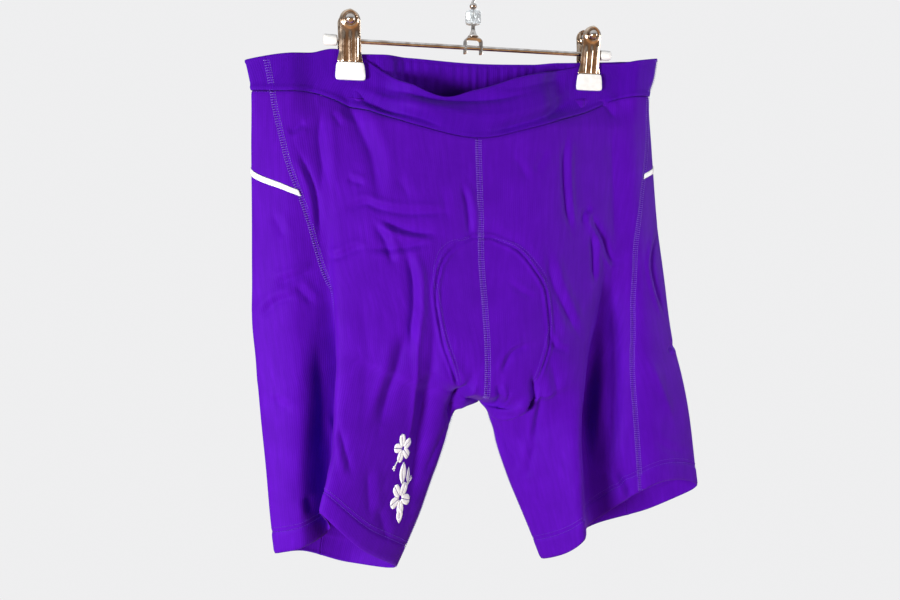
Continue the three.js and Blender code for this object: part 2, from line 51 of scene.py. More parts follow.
# Cloth
WALL = 1.0
SEAM_SLIT = 0.1
PINCH_DEPTH = 0.75
PINCH_FLAT = 28.5
PINCH_REACH = 49.0
PINCH_HEIGHTS = (-158, -131)
HELD_WIDTHS = (13, 24)
HELD_HEIGHTS = (-134, -125)
LEG_LENGTH = 390.0
HEM_LINE = 1 - 20.0 / LEG_LENGTH
STITCH_LIFT = WALL / 2 + 0.08
TAPE_WIDTH = 5.4
TAPE_WALLS = (0.15, 0.5, 0.6, 0.6, 0.6, 0.5, 0.15)

# Hanger, with FIT left clear between its parts
FIT = 0.3
BAR_Z = -92.0
BAR_RADIUS = 1.9
BAR_ENDS = {"right": -123.0, "left": 125.5}
CAP_LENGTH = 11.0
CAP_RADIUS = 4.3
CAP_END = 2.5
CLIP_X = {"right": -105.0, "left": 107.0}
SLEEVE_TOP = -109.5
SLEEVE_BOTTOM = -123.5
SLEEVE_WIDTH = 25.0
SLEEVE_DEPTH = 4.0
SLEEVE_GAP = 0.85
SLEEVE_Y = PINCH_DEPTH + SLEEVE_GAP + SLEEVE_DEPTH / 2
JAW_TOP = -69.0
JAW_WIDTH = 18.0
JAW_FOOT_Y = 3.7
JAW_FOOT_Z = SLEEVE_TOP + FIT
JAW_HEIGHT = JAW_TOP - JAW_FOOT_Z
JAW_TOP_Y = 9.2
JAW_LEAN = math.atan2(JAW_TOP_Y - JAW_FOOT_Y, JAW_TOP - SLEEVE_TOP)
EYE_RADIUS = 4.9
EYE_RIM = 2.4
EYE_UP = JAW_HEIGHT - EYE_RADIUS - EYE_RIM
WIRE = 1.6
CROOK = 19.0
BRIDGE_TOP = -83.5
BRIDGE_BOTTOM = -97.0
BRIDGE_HALF = 8.0
STRAP_BEND = 3.2
BEAD_BOTTOM = -73.0
BEAD_TOP = -62.0
BEAD_RADIUS = 6.5

# The strap's section as (across its thickness, y), and the sleeve's size at shares of its height
STRAP_SECTION = [(-0.9, -2.6), (0.0, -3.0), (0.9, -2.6), (0.9, 2.6), (0.0, 3.0), (-0.9, 2.6)]
SLEEVE_SIZES = [(0, 0.84), (0.04, 0.93), (0.12, 0.985), (0.3, 1), (0.55, 0.99), (0.8, 0.975),
                (0.93, 0.95), (0.985, 0.9), (1, 0.82)]

# Ways round one half: 0 is the centre front, 5 the outer fold and 8 the centre back
STATIONS = ["inner", "belly", "ridge", "valley", "side", "outer", "backOuter", "backMid",
            "backInner"]
OUTER = 5.0
BACK_SEAM = 6.4
BACK_END = 8.0
TOP = -0.1
CROTCH = 0.6
LAST_SHARED_ROW = CROTCH + 0.001
WAIST_CENTRE_Z = -168.0
CROTCH_Z = -402.0
SIGN = {"right": -1.0, "left": 1.0}
OTHER = {"right": "left", "left": "right"}
HALVES = ("right", "left")


def table(names, rows):
    return {name: np.array([row[i] for row in rows], float) for i, name in enumerate(names)}


CENTRE = table(["v", "x", "frontY", "backY"], [
    [-0.1, -1, -12, 9],
    [-0.05, -1, -17, 10],
    [0, 0, -15, 12],
    [0.12, 0, -20, 18],
    [0.25, 0, -26, 23],
    [0.38, 2, -33, 26],
    [0.48, 3, -37, 25],
    [0.56, 4, -33, 17],
    [0.6, 8, 2, 2],
])

COLUMNS = [
    "v", "innerX", "bellyX", "bellyY", "ridgeX", "ridgeY", "valleyX", "valleyY", "sideY",
    "outerX", "backY", "seam",
]
LEVELS = {
    "right": table(COLUMNS, [
        [-0.1, 0, 40, -15, 105, -1, 137, -4, -5, 186, 9, 4.28],
        [-0.05, 0, 44, -19, 105, -5, 136, -5, -5, 184, 10, 4.27],
        [0, 0, 52, -16, 105, -8, 135, -7, -6, 182.5, 11, 4.25],
        [0.12, 0, 55, -20, 108, -13, 133, -10, -9, 184, 17, 3.98],
        [0.25, 0, 56, -26, 112, -17, 131, -12, -12, 186, 22, 3.48],
        [0.38, 0, 56, -32, 116, -22, 129, -12, -14, 187.5, 25, 3.1],
        [0.48, 0, 56, -34, 118, -26, 124, -7, -14, 189.5, 26, 2.62],
        [0.56, 0, 54, -33, 119, -29, 119, -1, -13, 188, 26, 2.6],
        [0.6, -8, 54, -30, 120, -30, 118, 1, -13, 187.5, 26, 2.6],
        [0.62, 15, 60, -27, 120.5, -31, 118, 2, -13, 187, 26, 2.6],
        [0.7, 26, 70, -24, 124, -34, 121, 4, -12, 185.5, 27, 2.6],
        [0.85, 46, 90, -27, 129.5, -38, 127, 6, -12, 182, 29, 2.6],
        [0.92, 58, 98, -28, 135, -39, 128.5, 4.5, -12, 180.5, 30, 2.6],
        [1, 72, 108, -29, 142, -40, 131, 1, -12, 178.5, 31, 2.6],
    ]),
    "left": table(COLUMNS, [
        [-0.1, 0, 42, -12, 107, -1, 137, -4, -5, 174, 9, 4.8],
        [-0.05, 0, 44, -17, 106, -5, 135, -5, -5, 172, 10, 4.8],
        [0, 0, 46, -15, 100, -8, 132, -7, -6, 168, 11, 4.7],
        [0.12, 0, 48, -20, 100, -13, 133, -10, -9, 172, 17, 4.45],
        [0.25, 0, 50, -26, 102, -17, 134, -12, -12, 179, 22, 4.05],
        [0.38, 0, 50, -32, 102, -20, 133, -11, -14, 187, 25, 3.7],
        [0.48, 0, 50, -36, 100, -24, 130, -8, -14, 194.5, 26, 3.69],
        [0.56, 0, 48, -38, 94.5, -29, 124, -3, -15, 201.5, 26, 3.75],
        [0.6, 8, 46, -36, 93, -31, 122, -1, -16, 205.5, 26, 3.75],
        [0.62, 16, 45, -29, 92.5, -32, 121, 0, -16, 208, 26, 3.74],
        [0.7, 25.5, 54, -17, 91.5, -34, 118, 2, -17, 217.5, 26, 3.74],
        [0.85, 49.5, 69, -18, 94, -36, 120, 4, -18, 232, 27, 3.74],
        [1, 74.5, 86, -20, 99, -36, 128, 4, -16, 242, 28, 3.72],
    ]),
}

# Top edge, the band's lower seam and the hem, one row for each station
HEIGHTS = {
    "right": table(["top", "waist", "hem"], [
        [-129, WAIST_CENTRE_Z, -556],
        [-134, -159, -516],
        [-101, -143, -475],
        [-103, -134, -510],
        [-106, -134, -518],
        [-111, -134, -526],
        [-105, -135, -538],
        [-101, -137, -559],
        [-103, -138, -556],
    ]),
    "left": table(["top", "waist", "hem"], [
        [-129, WAIST_CENTRE_Z, -565],
        [-116, -159, -552.5],
        [-101, -144, -533],
        [-98, -131, -537],
        [-95, -127, -494],
        [-92, -126, -510],
        [-97, -128, -537],
        [-101, -134, -553],
        [-103, -138, -565],
    ]),
}

TAPE = {"right": {"seam": 0.212, "fold": 0.158}, "left": {"seam": 0.197, "fold": 0.166}}

# Half widths of the seat pad from the centre seam
PAD = table(["v", "right", "left"], [
    [0.215, 8, 9],
    [0.24, 27, 31],
    [0.28, 38, 45],
    [0.34, 43, 57],
    [0.43, 39, 59],
    [0.52, 28, 48],
    [0.585, 22, 36],
])
PAD_BACK_TOP = 0.24
PAD_LOWEST = 0.55
PAD_WALL = 5.0
PAD_RIM = 1.2
PAD_GAP = 1.2


# Curves and tables

SLOPES = {}


def mix(a, b, t):
    return a + (b - a) * t


def smooth(low, high, x):
    t = np.clip((np.asarray(x, float) - low) / (high - low), 0, 1)
    return t * t * (3 - 2 * t)


def slopes(xs, ys):
    """Slope at each row, which never overshoots the neighbours."""
    step = np.diff(ys) / np.diff(xs)
    inner = np.zeros(len(xs) - 2)
    before, after = step[:-1], step[1:]
    same = before * after > 0
    inner[same] = 2 * before[same] * after[same] / (before[same] + after[same])
    return np.concatenate([step[:1], inner, step[-1:]])


def read(columns, name, v):
    """Value of a table's column at level v, by cubic pieces."""
    xs, ys = columns["v"], columns[name]
    if (id(columns), name) not in SLOPES:
        SLOPES[id(columns), name] = slopes(xs, ys)
    slope = SLOPES[id(columns), name]
    v = np.asarray(v, float)
    i = np.clip(np.searchsorted(xs, v, side="left") - 1, 0, len(xs) - 2)
    h = xs[i + 1] - xs[i]
    t = np.clip((v - xs[i]) / h, 0, 1)
    rise = ys[i + 1] - ys[i]
    a = slope[i] * h - rise
    b = rise - slope[i + 1] * h
    return ys[i] + rise * t + t * (1 - t) * (a * (1 - t) + b * t)


# The garment's surface

def height_at(side, station, v):
    top, waist, hem = (HEIGHTS[side][name][station] for name in ("top", "waist", "hem"))
    above = mix(waist, top, v / TOP)
    below = mix(waist, hem, v)
    if station in (0, len(STATIONS) - 1):
        upper = mix(waist, CROTCH_Z, v / CROTCH)
        lower = mix(CROTCH_Z, hem, (v - CROTCH) / (1 - CROTCH))
        below = np.where(v < CROTCH, upper, lower)
    return np.where(v < 0, above, below)


def station_point(side, station, v):
    sign = SIGN[side]
    row = {name: read(LEVELS[side], name, v) for name in COLUMNS[1:-1]}
    above = v <= CROTCH
    inner_x = np.where(above, read(CENTRE, "x", v), sign * row["innerX"])
    closed_y = 2 + 2 * smooth(CROTCH, 0.7, v)
    fold = sign * row["outerX"]
    places = {
        "inner": (inner_x, np.where(above, read(CENTRE, "frontY", v), closed_y)),
        "belly": (sign * row["bellyX"], row["bellyY"]),
        "ridge": (sign * row["ridgeX"], row["ridgeY"]),
        "valley": (sign * row["valleyX"], row["valleyY"]),
        "side": (mix(sign * row["valleyX"], fold, 0.52), row["sideY"]),
        "outer": (fold, np.ones_like(v)),
        "backOuter": (mix(fold, inner_x, 0.24), 0.72 * row["backY"]),
        "backMid": (mix(fold, inner_x, 0.62), row["backY"]),
        "backInner": (inner_x, np.where(above, read(CENTRE, "backY", v), closed_y)),
    }
    x, y = places[STATIONS[station]]
    return np.stack([x, y, height_at(side, station, v)], axis=-1)


def neighbour(side, station, v):
    """A station past the end lies on the other half above the crotch, on the same leg below."""
    end = int(BACK_END)
    first = station < 0
    across = station_point(OTHER[side], -station if first else 2 * end - station, v)
    round_leg = station_point(side, end + station if first else station - end, v)
    share = smooth(CROTCH - 0.04, CROTCH + 0.02, v)[..., None]
    return mix(across, round_leg, share)


def pinch(points, back):
    """The two layers are pressed together where a clip holds them."""
    for clip in CLIP_X.values():
        across = 1 - smooth(PINCH_FLAT, PINCH_REACH, np.abs(points[..., 0] - clip))
        down = smooth(*PINCH_HEIGHTS, points[..., 2])
        rest = np.where(back, PINCH_DEPTH, -PINCH_DEPTH)
        points[..., 1] = mix(points[..., 1], rest, across * down)
    return points


def inside_half(side, u, v):
    end = int(BACK_END)
    stations = [
        station_point(side, k, v) if 0 <= k <= end else neighbour(side, k, v)
        for k in range(-1, end + 2)
    ]
    stack = np.stack(stations)
    i = np.clip(np.floor(u).astype(int), 0, end - 1)
    t = (u - i)[..., None]
    where = np.indices(u.shape)
    p0, p1, p2, p3 = (stack[(i + k,) + tuple(where)] for k in range(4))
    t2, t3 = t * t, t * t * t
    m1, m2 = (p2 - p0) / 2, (p3 - p1) / 2
    points = p1 * (2 * t3 - 3 * t2 + 1) + m1 * (t3 - 2 * t2 + t)
    points += p2 * (3 * t2 - 2 * t3) + m2 * (t3 - t2)
    return pinch(points, u > OUTER)


def surface(side, u, v):
    u, v = np.broadcast_arrays(np.asarray(u, float), np.asarray(v, float))
    points = inside_half(side, np.clip(u, 0, BACK_END), v)
    outside = (u < 0) | (u > BACK_END)
    if outside.any():
        past = np.where(u < 0, -u, u - BACK_END)
        across = inside_half(OTHER[side], np.where(u < 0, past, BACK_END - past), v)
        round_leg = inside_half(side, np.where(u < 0, BACK_END - past, past), v)
        over = np.where((v < LAST_SHARED_ROW)[..., None], across, round_leg)
        points = np.where(outside[..., None], over, points)
    return points


def unit(vectors):
    return vectors / np.maximum(np.linalg.norm(vectors, axis=-1, keepdims=True), 1e-9)


def normal_at(side, u, v):
    e, f = 0.02, 0.004
    lowest = np.where(v < LAST_SHARED_ROW, CROTCH, 1.0)
    along = surface(side, u + e, v) - surface(side, u - e, v)
    down = surface(side, u, np.minimum(lowest, v + f)) - surface(side, u, np.maximum(TOP, v - f))
    return unit(-SIGN[side] * np.cross(along, down))


# Creases: soft troughs and ridges laid along listed lines, seen from the front as x and z.
# depth is negative for a trough. lip is the share of the depth that stands up beside it, to the
# left of the line's direction where positive.

FRONT_CREASES = [
    # Waistband, fanning out from the right clip
    ([(-93, -126), (-75, -129), (-52, -135), (-32, -138), (20, -135), (60, -125)], -3.2, 3.4, 0.3),
    ([(-110, -127), (-94, -138), (-75, -147), (-47, -154), (-26, -163)], -3.6, 3.8, 0.4),
    ([(-72, -138), (-38, -145), (0, -150), (40, -145)], 2.2, 6.0, 0.0),
    ([(3, -164), (31, -158), (65, -147), (97, -129)], -4.6, 4.6, 0.35),
    ([(10, -130), (45, -124), (88, -112)], -2.0, 3.6, 0.4),
    ([(-90, -108), (-72, -117), (-50, -127)], -1.8, 3.2, 0.4),
    ([(112, -124), (124, -132), (136, -150)], -1.8, 3.6, 0.4),
    # Below the right clip
    ([(-115, -124), (-104, -148), (-97, -166), (-89, -188), (-85, -228)], -4.2, 6.0, 0.35),
    ([(-127, -140), (-132, -167), (-130, -198), (-134, -218)], -3.2, 4.6, 0.35),
    ([(-157, -168), (-150, -163), (-141, -158)], -1.9, 2.8, -0.6),
    ([(-152, -176), (-143, -193), (-135, -218), (-133, -256)], -2.6, 2.8, -0.5),
    ([(-122, -148), (-113, -162)], -1.2, 2.8, 0.5),
    # Across the right hip
    ([(-120, -231), (-98, -223), (-86, -227), (-63, -231), (-22, -230)], -2.4, 3.0, 0.5),
    ([(-90, -233), (-74, -241), (-57, -246), (-36, -248)], -3.2, 3.0, -0.7),
    ([(-112, -203), (-96, -208)], -1.5, 2.6, 0.6),
    ([(-129, -269), (-117, -265), (-106, -260), (-96, -259)], -1.7, 2.8, 0.6),
    ([(-100, -259), (-67, -259), (-40, -251)], -1.9, 2.8, -0.6),
    ([(-92, -236), (-82, -253), (-75, -276)], -2.8, 3.2, 0.5),
    ([(-68, -256), (-61, -279), (-60, -304), (-62, -322), (-64, -350)], -4.2, 3.4, 0.6),
    ([(-17, -204), (-11, -225), (-10, -254)], -2.4, 2.6, 0.5),
    ([(-34, -206), (-30, -240)], -0.9, 3.6, 0.4),
    ([(-72, -200), (-60, -220)], -1.0, 3.6, 0.5),
    # Right leg
    ([(-104, -290), (-100, -340), (-104, -396)], -0.9, 6.0, 0.3),
    ([(-66, -322), (-74, -356), (-83, -384), (-91, -414)], -3.4, 5.0, -0.6),
    ([(-54, -300), (-57, -334), (-59, -397), (-64, -440)], 2.2, 3.0, 0.0),
    ([(-45, -306), (-44, -346), (-46, -390), (-52, -439), (-60, -500)], -5.6, 7.5, 0.2),
    ([(-125, -400), (-120, -421), (-114, -448)], -2.0, 3.0, -0.5),
    ([(-101, -440), (-99, -490)], -1.5, 4.0, 0.5),
    ([(-92, -480), (-82, -520)], -1.2, 4.0, 0.5),
    ([(-22, -420), (-36, -446), (-46, -470)], -1.6, 4.0, 0.4),
    # Right side panel
    ([(-173, -289), (-155, -283), (-137, -277)], -2.0, 3.4, 0.6),
    ([(-155, -288), (-140, -306)], -1.6, 3.2, 0.6),
    ([(-184, -318), (-170, -303), (-151, -298)], -1.8, 3.2, 0.6),
    ([(-170, -230), (-162, -252)], -1.3, 3.4, 0.5),
    ([(-138, -330), (-134, -390), (-136, -450)], -3.0, 8.0, 0.0),
    ([(-178, -382), (-160, -396)], -1.2, 3.6, 0.5),
    ([(-150, -470), (-146, -490)], -1.4, 4.0, -0.5),
    # Left front
    ([(82, -160), (79, -190), (80, -220), (82, -236), (86, -252)], -2.8, 2.8, 0.6),
    ([(62, -176), (50, -198)], -1.1, 3.4, 0.5),
    ([(97, -242), (100, -231), (109, -227)], -2.0, 2.4, -0.6),
    ([(104, -230), (119, -253), (131, -274), (144, -272)], -2.8, 3.0, -0.5),
    ([(107, -248), (109, -268), (110, -296)], -2.8, 2.6, 0.5),
    ([(127, -150), (131, -200), (133, -266)], -2.2, 7.0, 0.2),
    ([(60, -260), (62, -276), (68, -296), (80, -320), (93, -344)], -3.0, 4.0, 0.5),
    ([(58, -332), (68, -349), (82, -351)], -1.8, 2.6, 0.5),
    ([(30, -180), (46, -206)], -1.0, 3.6, 0.4),
    ([(22, -289), (37, -299), (50, -305)], -1.1, 2.6, 0.5),
    # Left leg and the deep fold beside its ridge
    ([(122, -268), (125, -322), (123, -369), (119, -428), (119, -476), (122, -500)], -10.0, 9.0, 0.0),
    ([(131, -280), (138, -330), (141, -380), (142, -430), (140, -480)], -8.0, 6.5, -0.5),
    ([(56, -438), (51, -480)], -1.8, 3.6, -0.6),
    ([(16, -416), (33, -446), (53, -482)], -3.0, 6.0, 0.3),
    ([(74, -420), (78, -470), (82, -520)], -1.1, 5.0, 0.4),
    # Left side panel
    ([(170, -368), (183, -395), (202, -436)], 2.6, 6.0, 0.0),
    ([(184, -243), (173, -274), (178, -300), (193, -334)], -2.2, 2.6, -0.7),
    ([(211, -362), (201, -361), (195, -367)], -2.4, 2.8, 0.6),
    ([(176, -448), (200, -462), (222, -468)], -1.2, 4.0, 0.5),
    ([(146, -478), (157, -494), (164, -514)], -3.6, 3.6, -0.8),
    # Round the pad and its bag
    ([(15, -370), (25, -351), (43, -344)], -2.2, 2.6, 0.7),
    ([(-36, -352), (-24, -372), (-20, -384)], -2.0, 3.2, 0.6),
    ([(-10, -368), (-15, -382), (-19, -394), (-22, -422)], -6.0, 3.6, 0.0),
    ([(-5, -374), (-9, -391), (-13, -416)], 2.0, 2.6, 0.0),
    ([(60, -356), (66, -376), (70, -400)], -1.8, 4.0, -0.5),
    ([(44, -368), (47, -385), (46, -399), (40, -411)], -6.0, 3.2, 0.0),
    ([(12, -376), (16, -390), (20, -403)], -3.0, 2.4, 0.6),
    ([(53, -380), (55, -407), (56, -446)], -2.4, 2.6, -0.6),
]

# The hidden back hangs in similar, broader folds.
BACK_CREASES = [
    ([(-108, -124), (-92, -150), (-78, -196)], -5.2, 6.5, 0.3),
    ([(108, -124), (94, -150), (84, -190)], -4.6, 6.5, -0.3),
    ([(-70, -150), (-30, -162), (20, -164), (66, -152)], -4.2, 5.5, 0.3),
    ([(-120, -210), (-84, -226), (-40, -232)], -3.6, 4.5, 0.6),
    ([(118, -216), (86, -230), (48, -228)], -3.2, 4.2, 0.6),
    ([(-96, -262), (-62, -280), (-30, -300)], -3.6, 4.6, 0.6),
    ([(92, -268), (66, -286), (30, -308)], -3.2, 4.4, 0.5),
    ([(-136, -300), (-128, -360), (-124, -430)], -3.8, 6.0, 0.4),
    ([(140, -300), (134, -370), (140, -440)], -4.2, 6.5, -0.4),
    ([(-88, -380), (-92, -440), (-100, -500)], -4.2, 6.0, 0.5),
    ([(92, -376), (100, -440), (112, -510)], -4.2, 6.5, 0.4),
    ([(-40, -410), (-60, -440), (-74, -480)], -3.0, 4.5, 0.5),
    ([(36, -420), (56, -450), (70, -496)], -3.0, 4.5, 0.5),
    ([(-26, -352), (-8, -366), (22, -364)], -3.0, 4.0, 0.6),
    ([(-166, -250), (-150, -262)], -2.0, 4.0, 0.5),
    ([(176, -290), (160, -304)], -2.0, 4.0, 0.5),
    ([(-150, -480), (-120, -470)], -2.2, 5.0, 0.5),
    ([(196, -440), (166, -452)], -2.2, 5.0, 0.5),
]


def spline(line, steps=14):
    """A smooth run of points through a given line."""
    pts = np.array(line, float)
    if len(pts) == 2:
        return mix(pts[0], pts[1], np.linspace(0, 1, steps)[:, None])
    ends = np.concatenate([2 * pts[:1] - pts[1:2], pts, 2 * pts[-1:] - pts[-2:-1]])
    out = []
    for i in range(len(pts) - 1):
        p0, p1, p2, p3 = ends[i:i + 4]
        for t in np.linspace(0, 1, steps, endpoint=i == len(pts) - 2):
            m1, m2 = (p2 - p0) / 2, (p3 - p1) / 2
            a, b = 2 * t**3 - 3 * t**2 + 1, t**3 - 2 * t**2 + t
            out.append(p1 * a + m1 * b + p2 * (1 - a) + m2 * (t**3 - t**2))
    return np.array(out)


def distance_to(line, flat):
    """Signed distance to a line, positive on its left, and how far along the nearest point is."""
    best = np.full(len(flat), 1e9)
    signed = np.full(len(flat), 1e9)
    along = np.zeros(len(flat))
    lengths = np.linalg.norm(np.diff(line, axis=0), axis=1)
    total = lengths.sum()
    start = 0.0
    for a, b, length in zip(line[:-1], line[1:], lengths):
        way = (b - a) / max(length, 1e-9)
        rel = flat - a
        t = np.clip(rel @ way, 0, length)
        off = rel - t[:, None] * way
        d = np.linalg.norm(off, axis=1)
        near = d < best
        cross = way[0] * rel[:, 1] - way[1] * rel[:, 0]
        best[near] = d[near]
        signed[near] = (d * np.where(cross >= 0, 1.0, -1.0))[near]
        along[near] = ((start + t) / total)[near]
        start += length
    return signed, along


def crease_height(creases, flat):
    height = np.zeros(len(flat))
    for points, depth, width, lip in creases:
        low = points.min(axis=0) - 5 * width
        high = points.max(axis=0) + 5 * width
        near = np.all((flat > low) & (flat < high), axis=1)
        if not near.any():
            continue
        d, along = distance_to(points, flat[near])
        fade = smooth(0, 0.3, along) * smooth(0, 0.3, 1 - along)
        fade = np.maximum(fade, 0.12 * np.exp(-(d / width) ** 2))
        bottom = 0.35 * width
        shape = np.exp(-1.25 * (np.hypot(d, bottom) - bottom) / width)
        beside = np.exp(-((np.abs(d) - 2.0 * width) / (1.1 * width)) ** 2)
        beside = beside * (np.sign(d) == np.sign(lip)) * abs(lip)
        height[near] += depth * fade * (shape - beside)
    return height


FRONT_LINES = [(spline(line), *sizes) for line, *sizes in FRONT_CREASES]
BACK_LINES = [(spline(line), *sizes) for line, *sizes in BACK_CREASES]


def pad_outline():
    """The pad's outline on the front, as x and z, from its top round both sides."""
    lines = {}
    for side in HALVES:
        v = np.linspace(PAD["v"][0], 0.56, 40)
        x = read(CENTRE, "x", v) + SIGN[side] * read(PAD, side, v)
        lines[side] = np.stack([x, mix(WAIST_CENTRE_Z, CROTCH_Z, v / CROTCH)], axis=1)
    return np.concatenate([lines["right"][::-1], lines["left"]])


PAD_LINE = pad_outline()


def pad_height(flat):
    """A raised, double-stitched edge, with the pad's own thickness inside it."""
    d, _ = distance_to(PAD_LINE, flat)
    edge = 1.5 * np.exp(-((np.abs(d) - 2.2) / 1.2) ** 2) - 0.6 * np.exp(-(d / 1.0) ** 2)
    inside = smooth(1, 14, d) * 1.6
    fade = smooth(-386, -360, flat[:, 1])
    return (edge + inside) * fade


# The seat pad sags into a bag beside the crotch: its lower edge, and how far it stands out
BAG_LINE = spline([(4, -396), (9, -408), (15, -413), (25, -414), (35, -410), (42, -401), (47, -387)])
BAG_RISE = 9.0
BAG_REACH = 20.0
BAG_EDGE = 2.4


def bag_height(flat, u, v):
    """A sharp step over the lower edge that dies away upwards, and beside the leg's inner edge."""
    d, along = distance_to(BAG_LINE, flat)
    ends = smooth(0, 0.25, along) * smooth(0, 0.2, 1 - along)
    step = smooth(-BAG_EDGE, BAG_EDGE, d) * np.exp(-(np.maximum(d, 0) / BAG_REACH) ** 2)
    leg = smooth(CROTCH - 0.03, CROTCH, v) * smooth(0.6, 0.1, u)
    return BAG_RISE * ends * step * (1 - leg)


def ripple(flat, seed):
    """Slight unevenness of hanging cloth, some centimetres across."""
    x, z = flat[:, 0], flat[:, 1]
    waves = [(0.051, 0.013, 0.45), (0.083, -0.031, 0.28), (0.019, 0.061, 0.3), (0.13, 0.02, 0.12)]
    total = np.zeros(len(flat))
    for i, (a, b, rise) in enumerate(waves):
        total += rise * np.sin(a * x + b * z + 1.7 * i + seed)
    return total


def gathers(points, v):
    """The elastic draws the back of the band into small upright pleats."""
    x = points[:, 0]
    wander = 1.4 * np.sin(0.11 * x) + 0.8 * np.sin(0.23 * x + 1.0)
    pleat = 0.62 * np.sin(2 * math.pi * (x + wander + 6 * v) / 8.6)
    pleat += 0.38 * np.sin(2 * math.pi * (x - 1.6 * wander) / 5.3 + 0.8)
    strength = smooth(TOP, TOP + 0.015, v) * smooth(0.03, -0.012, v)
    return 0.55 * pleat * strength * smooth(150, 120, np.abs(x))


def relief(u, v, points):
    """How far the finished surface stands off the plain one."""
    shape = u.shape
    u, v, flat = u.ravel(), v.ravel(), points[..., (0, 2)].reshape(-1, 2)
    front = 1 - smooth(4.7, 5.4, u)
    back = smooth(4.8, 5.6, u)
    height = (crease_height(FRONT_LINES, flat) + ripple(flat, 0.0)) * front
    height += (crease_height(BACK_LINES, flat) + ripple(flat, 2.1)) * back
    centre = smooth(2.0, 1.4, u)
    height += (pad_height(flat) + bag_height(flat, u, v)) * centre * (u < 2.2)
    height += gathers(points.reshape(-1, 3), v) * smooth(5.2, 5.8, u)
    return height.reshape(shape)


def held(points):
    """1 where a clip holds the cloth flat, 0 away from it."""
    out = np.zeros(points.shape[:-1])
    for clip in CLIP_X.values():
        across = 1 - smooth(*HELD_WIDTHS, np.abs(points[..., 0] - clip))
        out = np.maximum(out, across * smooth(*HELD_HEIGHTS, points[..., 2]))
    return out


def skin(side, u, v, lift=0.0):
    """Points of the finished surface's middle, lifted outwards."""
    u, v = np.broadcast_arrays(np.asarray(u, float), np.asarray(v, float))
    points = surface(side, u, v)
    normals = normal_at(side, u, v)
    height = relief(u, v, points) * (1 - held(points)) + lift
    return points + normals * height[..., None], normals


# Meshes

def new_object(name, points, faces):
    """An object from points in millimetres."""
    mesh = bpy.data.meshes.new(name)
    mesh.from_pydata([tuple(p) for p in np.asarray(points) * MM], [],
                     [tuple(int(i) for i in face) for face in faces])
    mesh.validate()
    mesh.polygons.foreach_set("use_smooth", [True] * len(mesh.polygons))
    obj = bpy.data.objects.new(name, mesh)
    bpy.context.scene.collection.objects.link(obj)
    return obj


def finish_piece(obj, material, slot=None, *nodes):
    """Gives a piece its material, hangs it from the root and hides the CAD parts it stands for."""
    obj.data.materials.append(material)
    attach(obj, "root")
    if nodes:
        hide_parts(*nodes)


def merge_doubles(obj):
    work = bmesh.new()
    work.from_mesh(obj.data)
    bmesh.ops.remove_doubles(work, verts=work.verts, dist=1e-7)
    bmesh.ops.dissolve_degenerate(work, edges=work.edges, dist=1e-8)
    bmesh.ops.recalc_face_normals(work, faces=work.faces)
    work.to_mesh(obj.data)
    work.free()


def ring_faces(rings, sides):
    """Faces from ring to ring, and last a face over each end."""
    faces = []
    for i in range(0, (rings - 1) * sides, sides):
        for k in range(sides):
            n = (k + 1) % sides
            faces.append((i + k, i + n, i + sides + n, i + sides + k))
    last = (rings - 1) * sides
    return faces + [tuple(range(sides))[::-1], tuple(range(last, last + sides))]


def ring_object(name, rings, ends=True):
    """A solid through rings of points."""
    faces = ring_faces(len(rings), len(rings[0]))
    obj = new_object(name, np.concatenate(rings), faces if ends else faces[:-2])
    merge_doubles(obj)
    return obj


def wire_object(name, line, up, across, radius, sides):
    """A round wire along a line. At each point, up and across span its section."""
    a = 2 * math.pi * np.arange(sides) / sides
    side_to_side = np.outer(np.sin(a), across)
    rings = [p + radius * (np.outer(np.cos(a), n) + side_to_side) for p, n in zip(line, up)]
    return ring_object(name, rings)


def turned_piece(name, profile, centre, axis, sides=48):
    """A turned solid. Its profile of (radius, height) goes from axis to axis, or closes."""
    a = 2 * math.pi * np.arange(sides) / sides
    order = {"X": (2, 0, 1), "Y": (1, 2, 0), "Z": (0, 1, 2)}[axis]
    rings = [np.stack([r * np.cos(a), r * np.sin(a), z + 0 * a], 1) for r, z in profile]
    return ring_object(name, [ring[:, order] + centre for ring in rings], ends=False)


def grid_faces(rows, cols, start, flip):
    i, j = np.meshgrid(np.arange(rows - 1), np.arange(cols - 1), indexing="ij")
    a = (start + i * cols + j).ravel()
    quad = np.stack([a, a + cols, a + cols + 1, a + 1], axis=1)
    return quad[:, ::-1] if flip else quad


def rim_faces(rows, cols, flip):
    ids = np.arange(rows * cols).reshape(rows, cols)
    ids = np.concatenate([ids[0, :-1], ids[:-1, -1], ids[-1, :0:-1], ids[:0:-1, 0]])
    after = np.roll(ids, -1)
    under = rows * cols
    quad = np.stack([ids, after, after + under, ids + under], axis=1)
    return quad[:, ::-1] if flip else quad


def wall_object(name, points, normals, thickness, uv=None):
    """A thin closed wall through a grid of points, whose normals point to its outer face."""
    rows, cols = points.shape[:2]
    offset = normals * np.asarray(thickness)[..., None] / 2
    toward = np.cross(points[0, 1] - points[0, 0], points[1, 0] - points[0, 0])
    flip = float(toward @ normals[0, 0]) > 0
    faces = np.concatenate([
        grid_faces(rows, cols, 0, flip),
        grid_faces(rows, cols, rows * cols, not flip),
        rim_faces(rows, cols, flip),
    ])
    both = np.concatenate([(points + offset).reshape(-1, 3), (points - offset).reshape(-1, 3)])
    obj = new_object(name, both, faces)
    corner = np.empty(len(obj.data.loops), int)
    obj.data.loops.foreach_get("vertex_index", corner)
    flat = (flat_lengths(points) if uv is None else uv).reshape(-1, 2)
    layer = obj.data.uv_layers.new(name="cloth")
    layer.data.foreach_set("uv", np.concatenate([flat, flat])[corner].ravel())
    return obj


def lengths_along(points, axis):
    step = np.linalg.norm(np.diff(points, axis=axis), axis=-1)
    pad = [(0, 0), (0, 0)]
    pad[axis] = (1, 0)
    return np.pad(np.cumsum(step, axis=axis), pad)


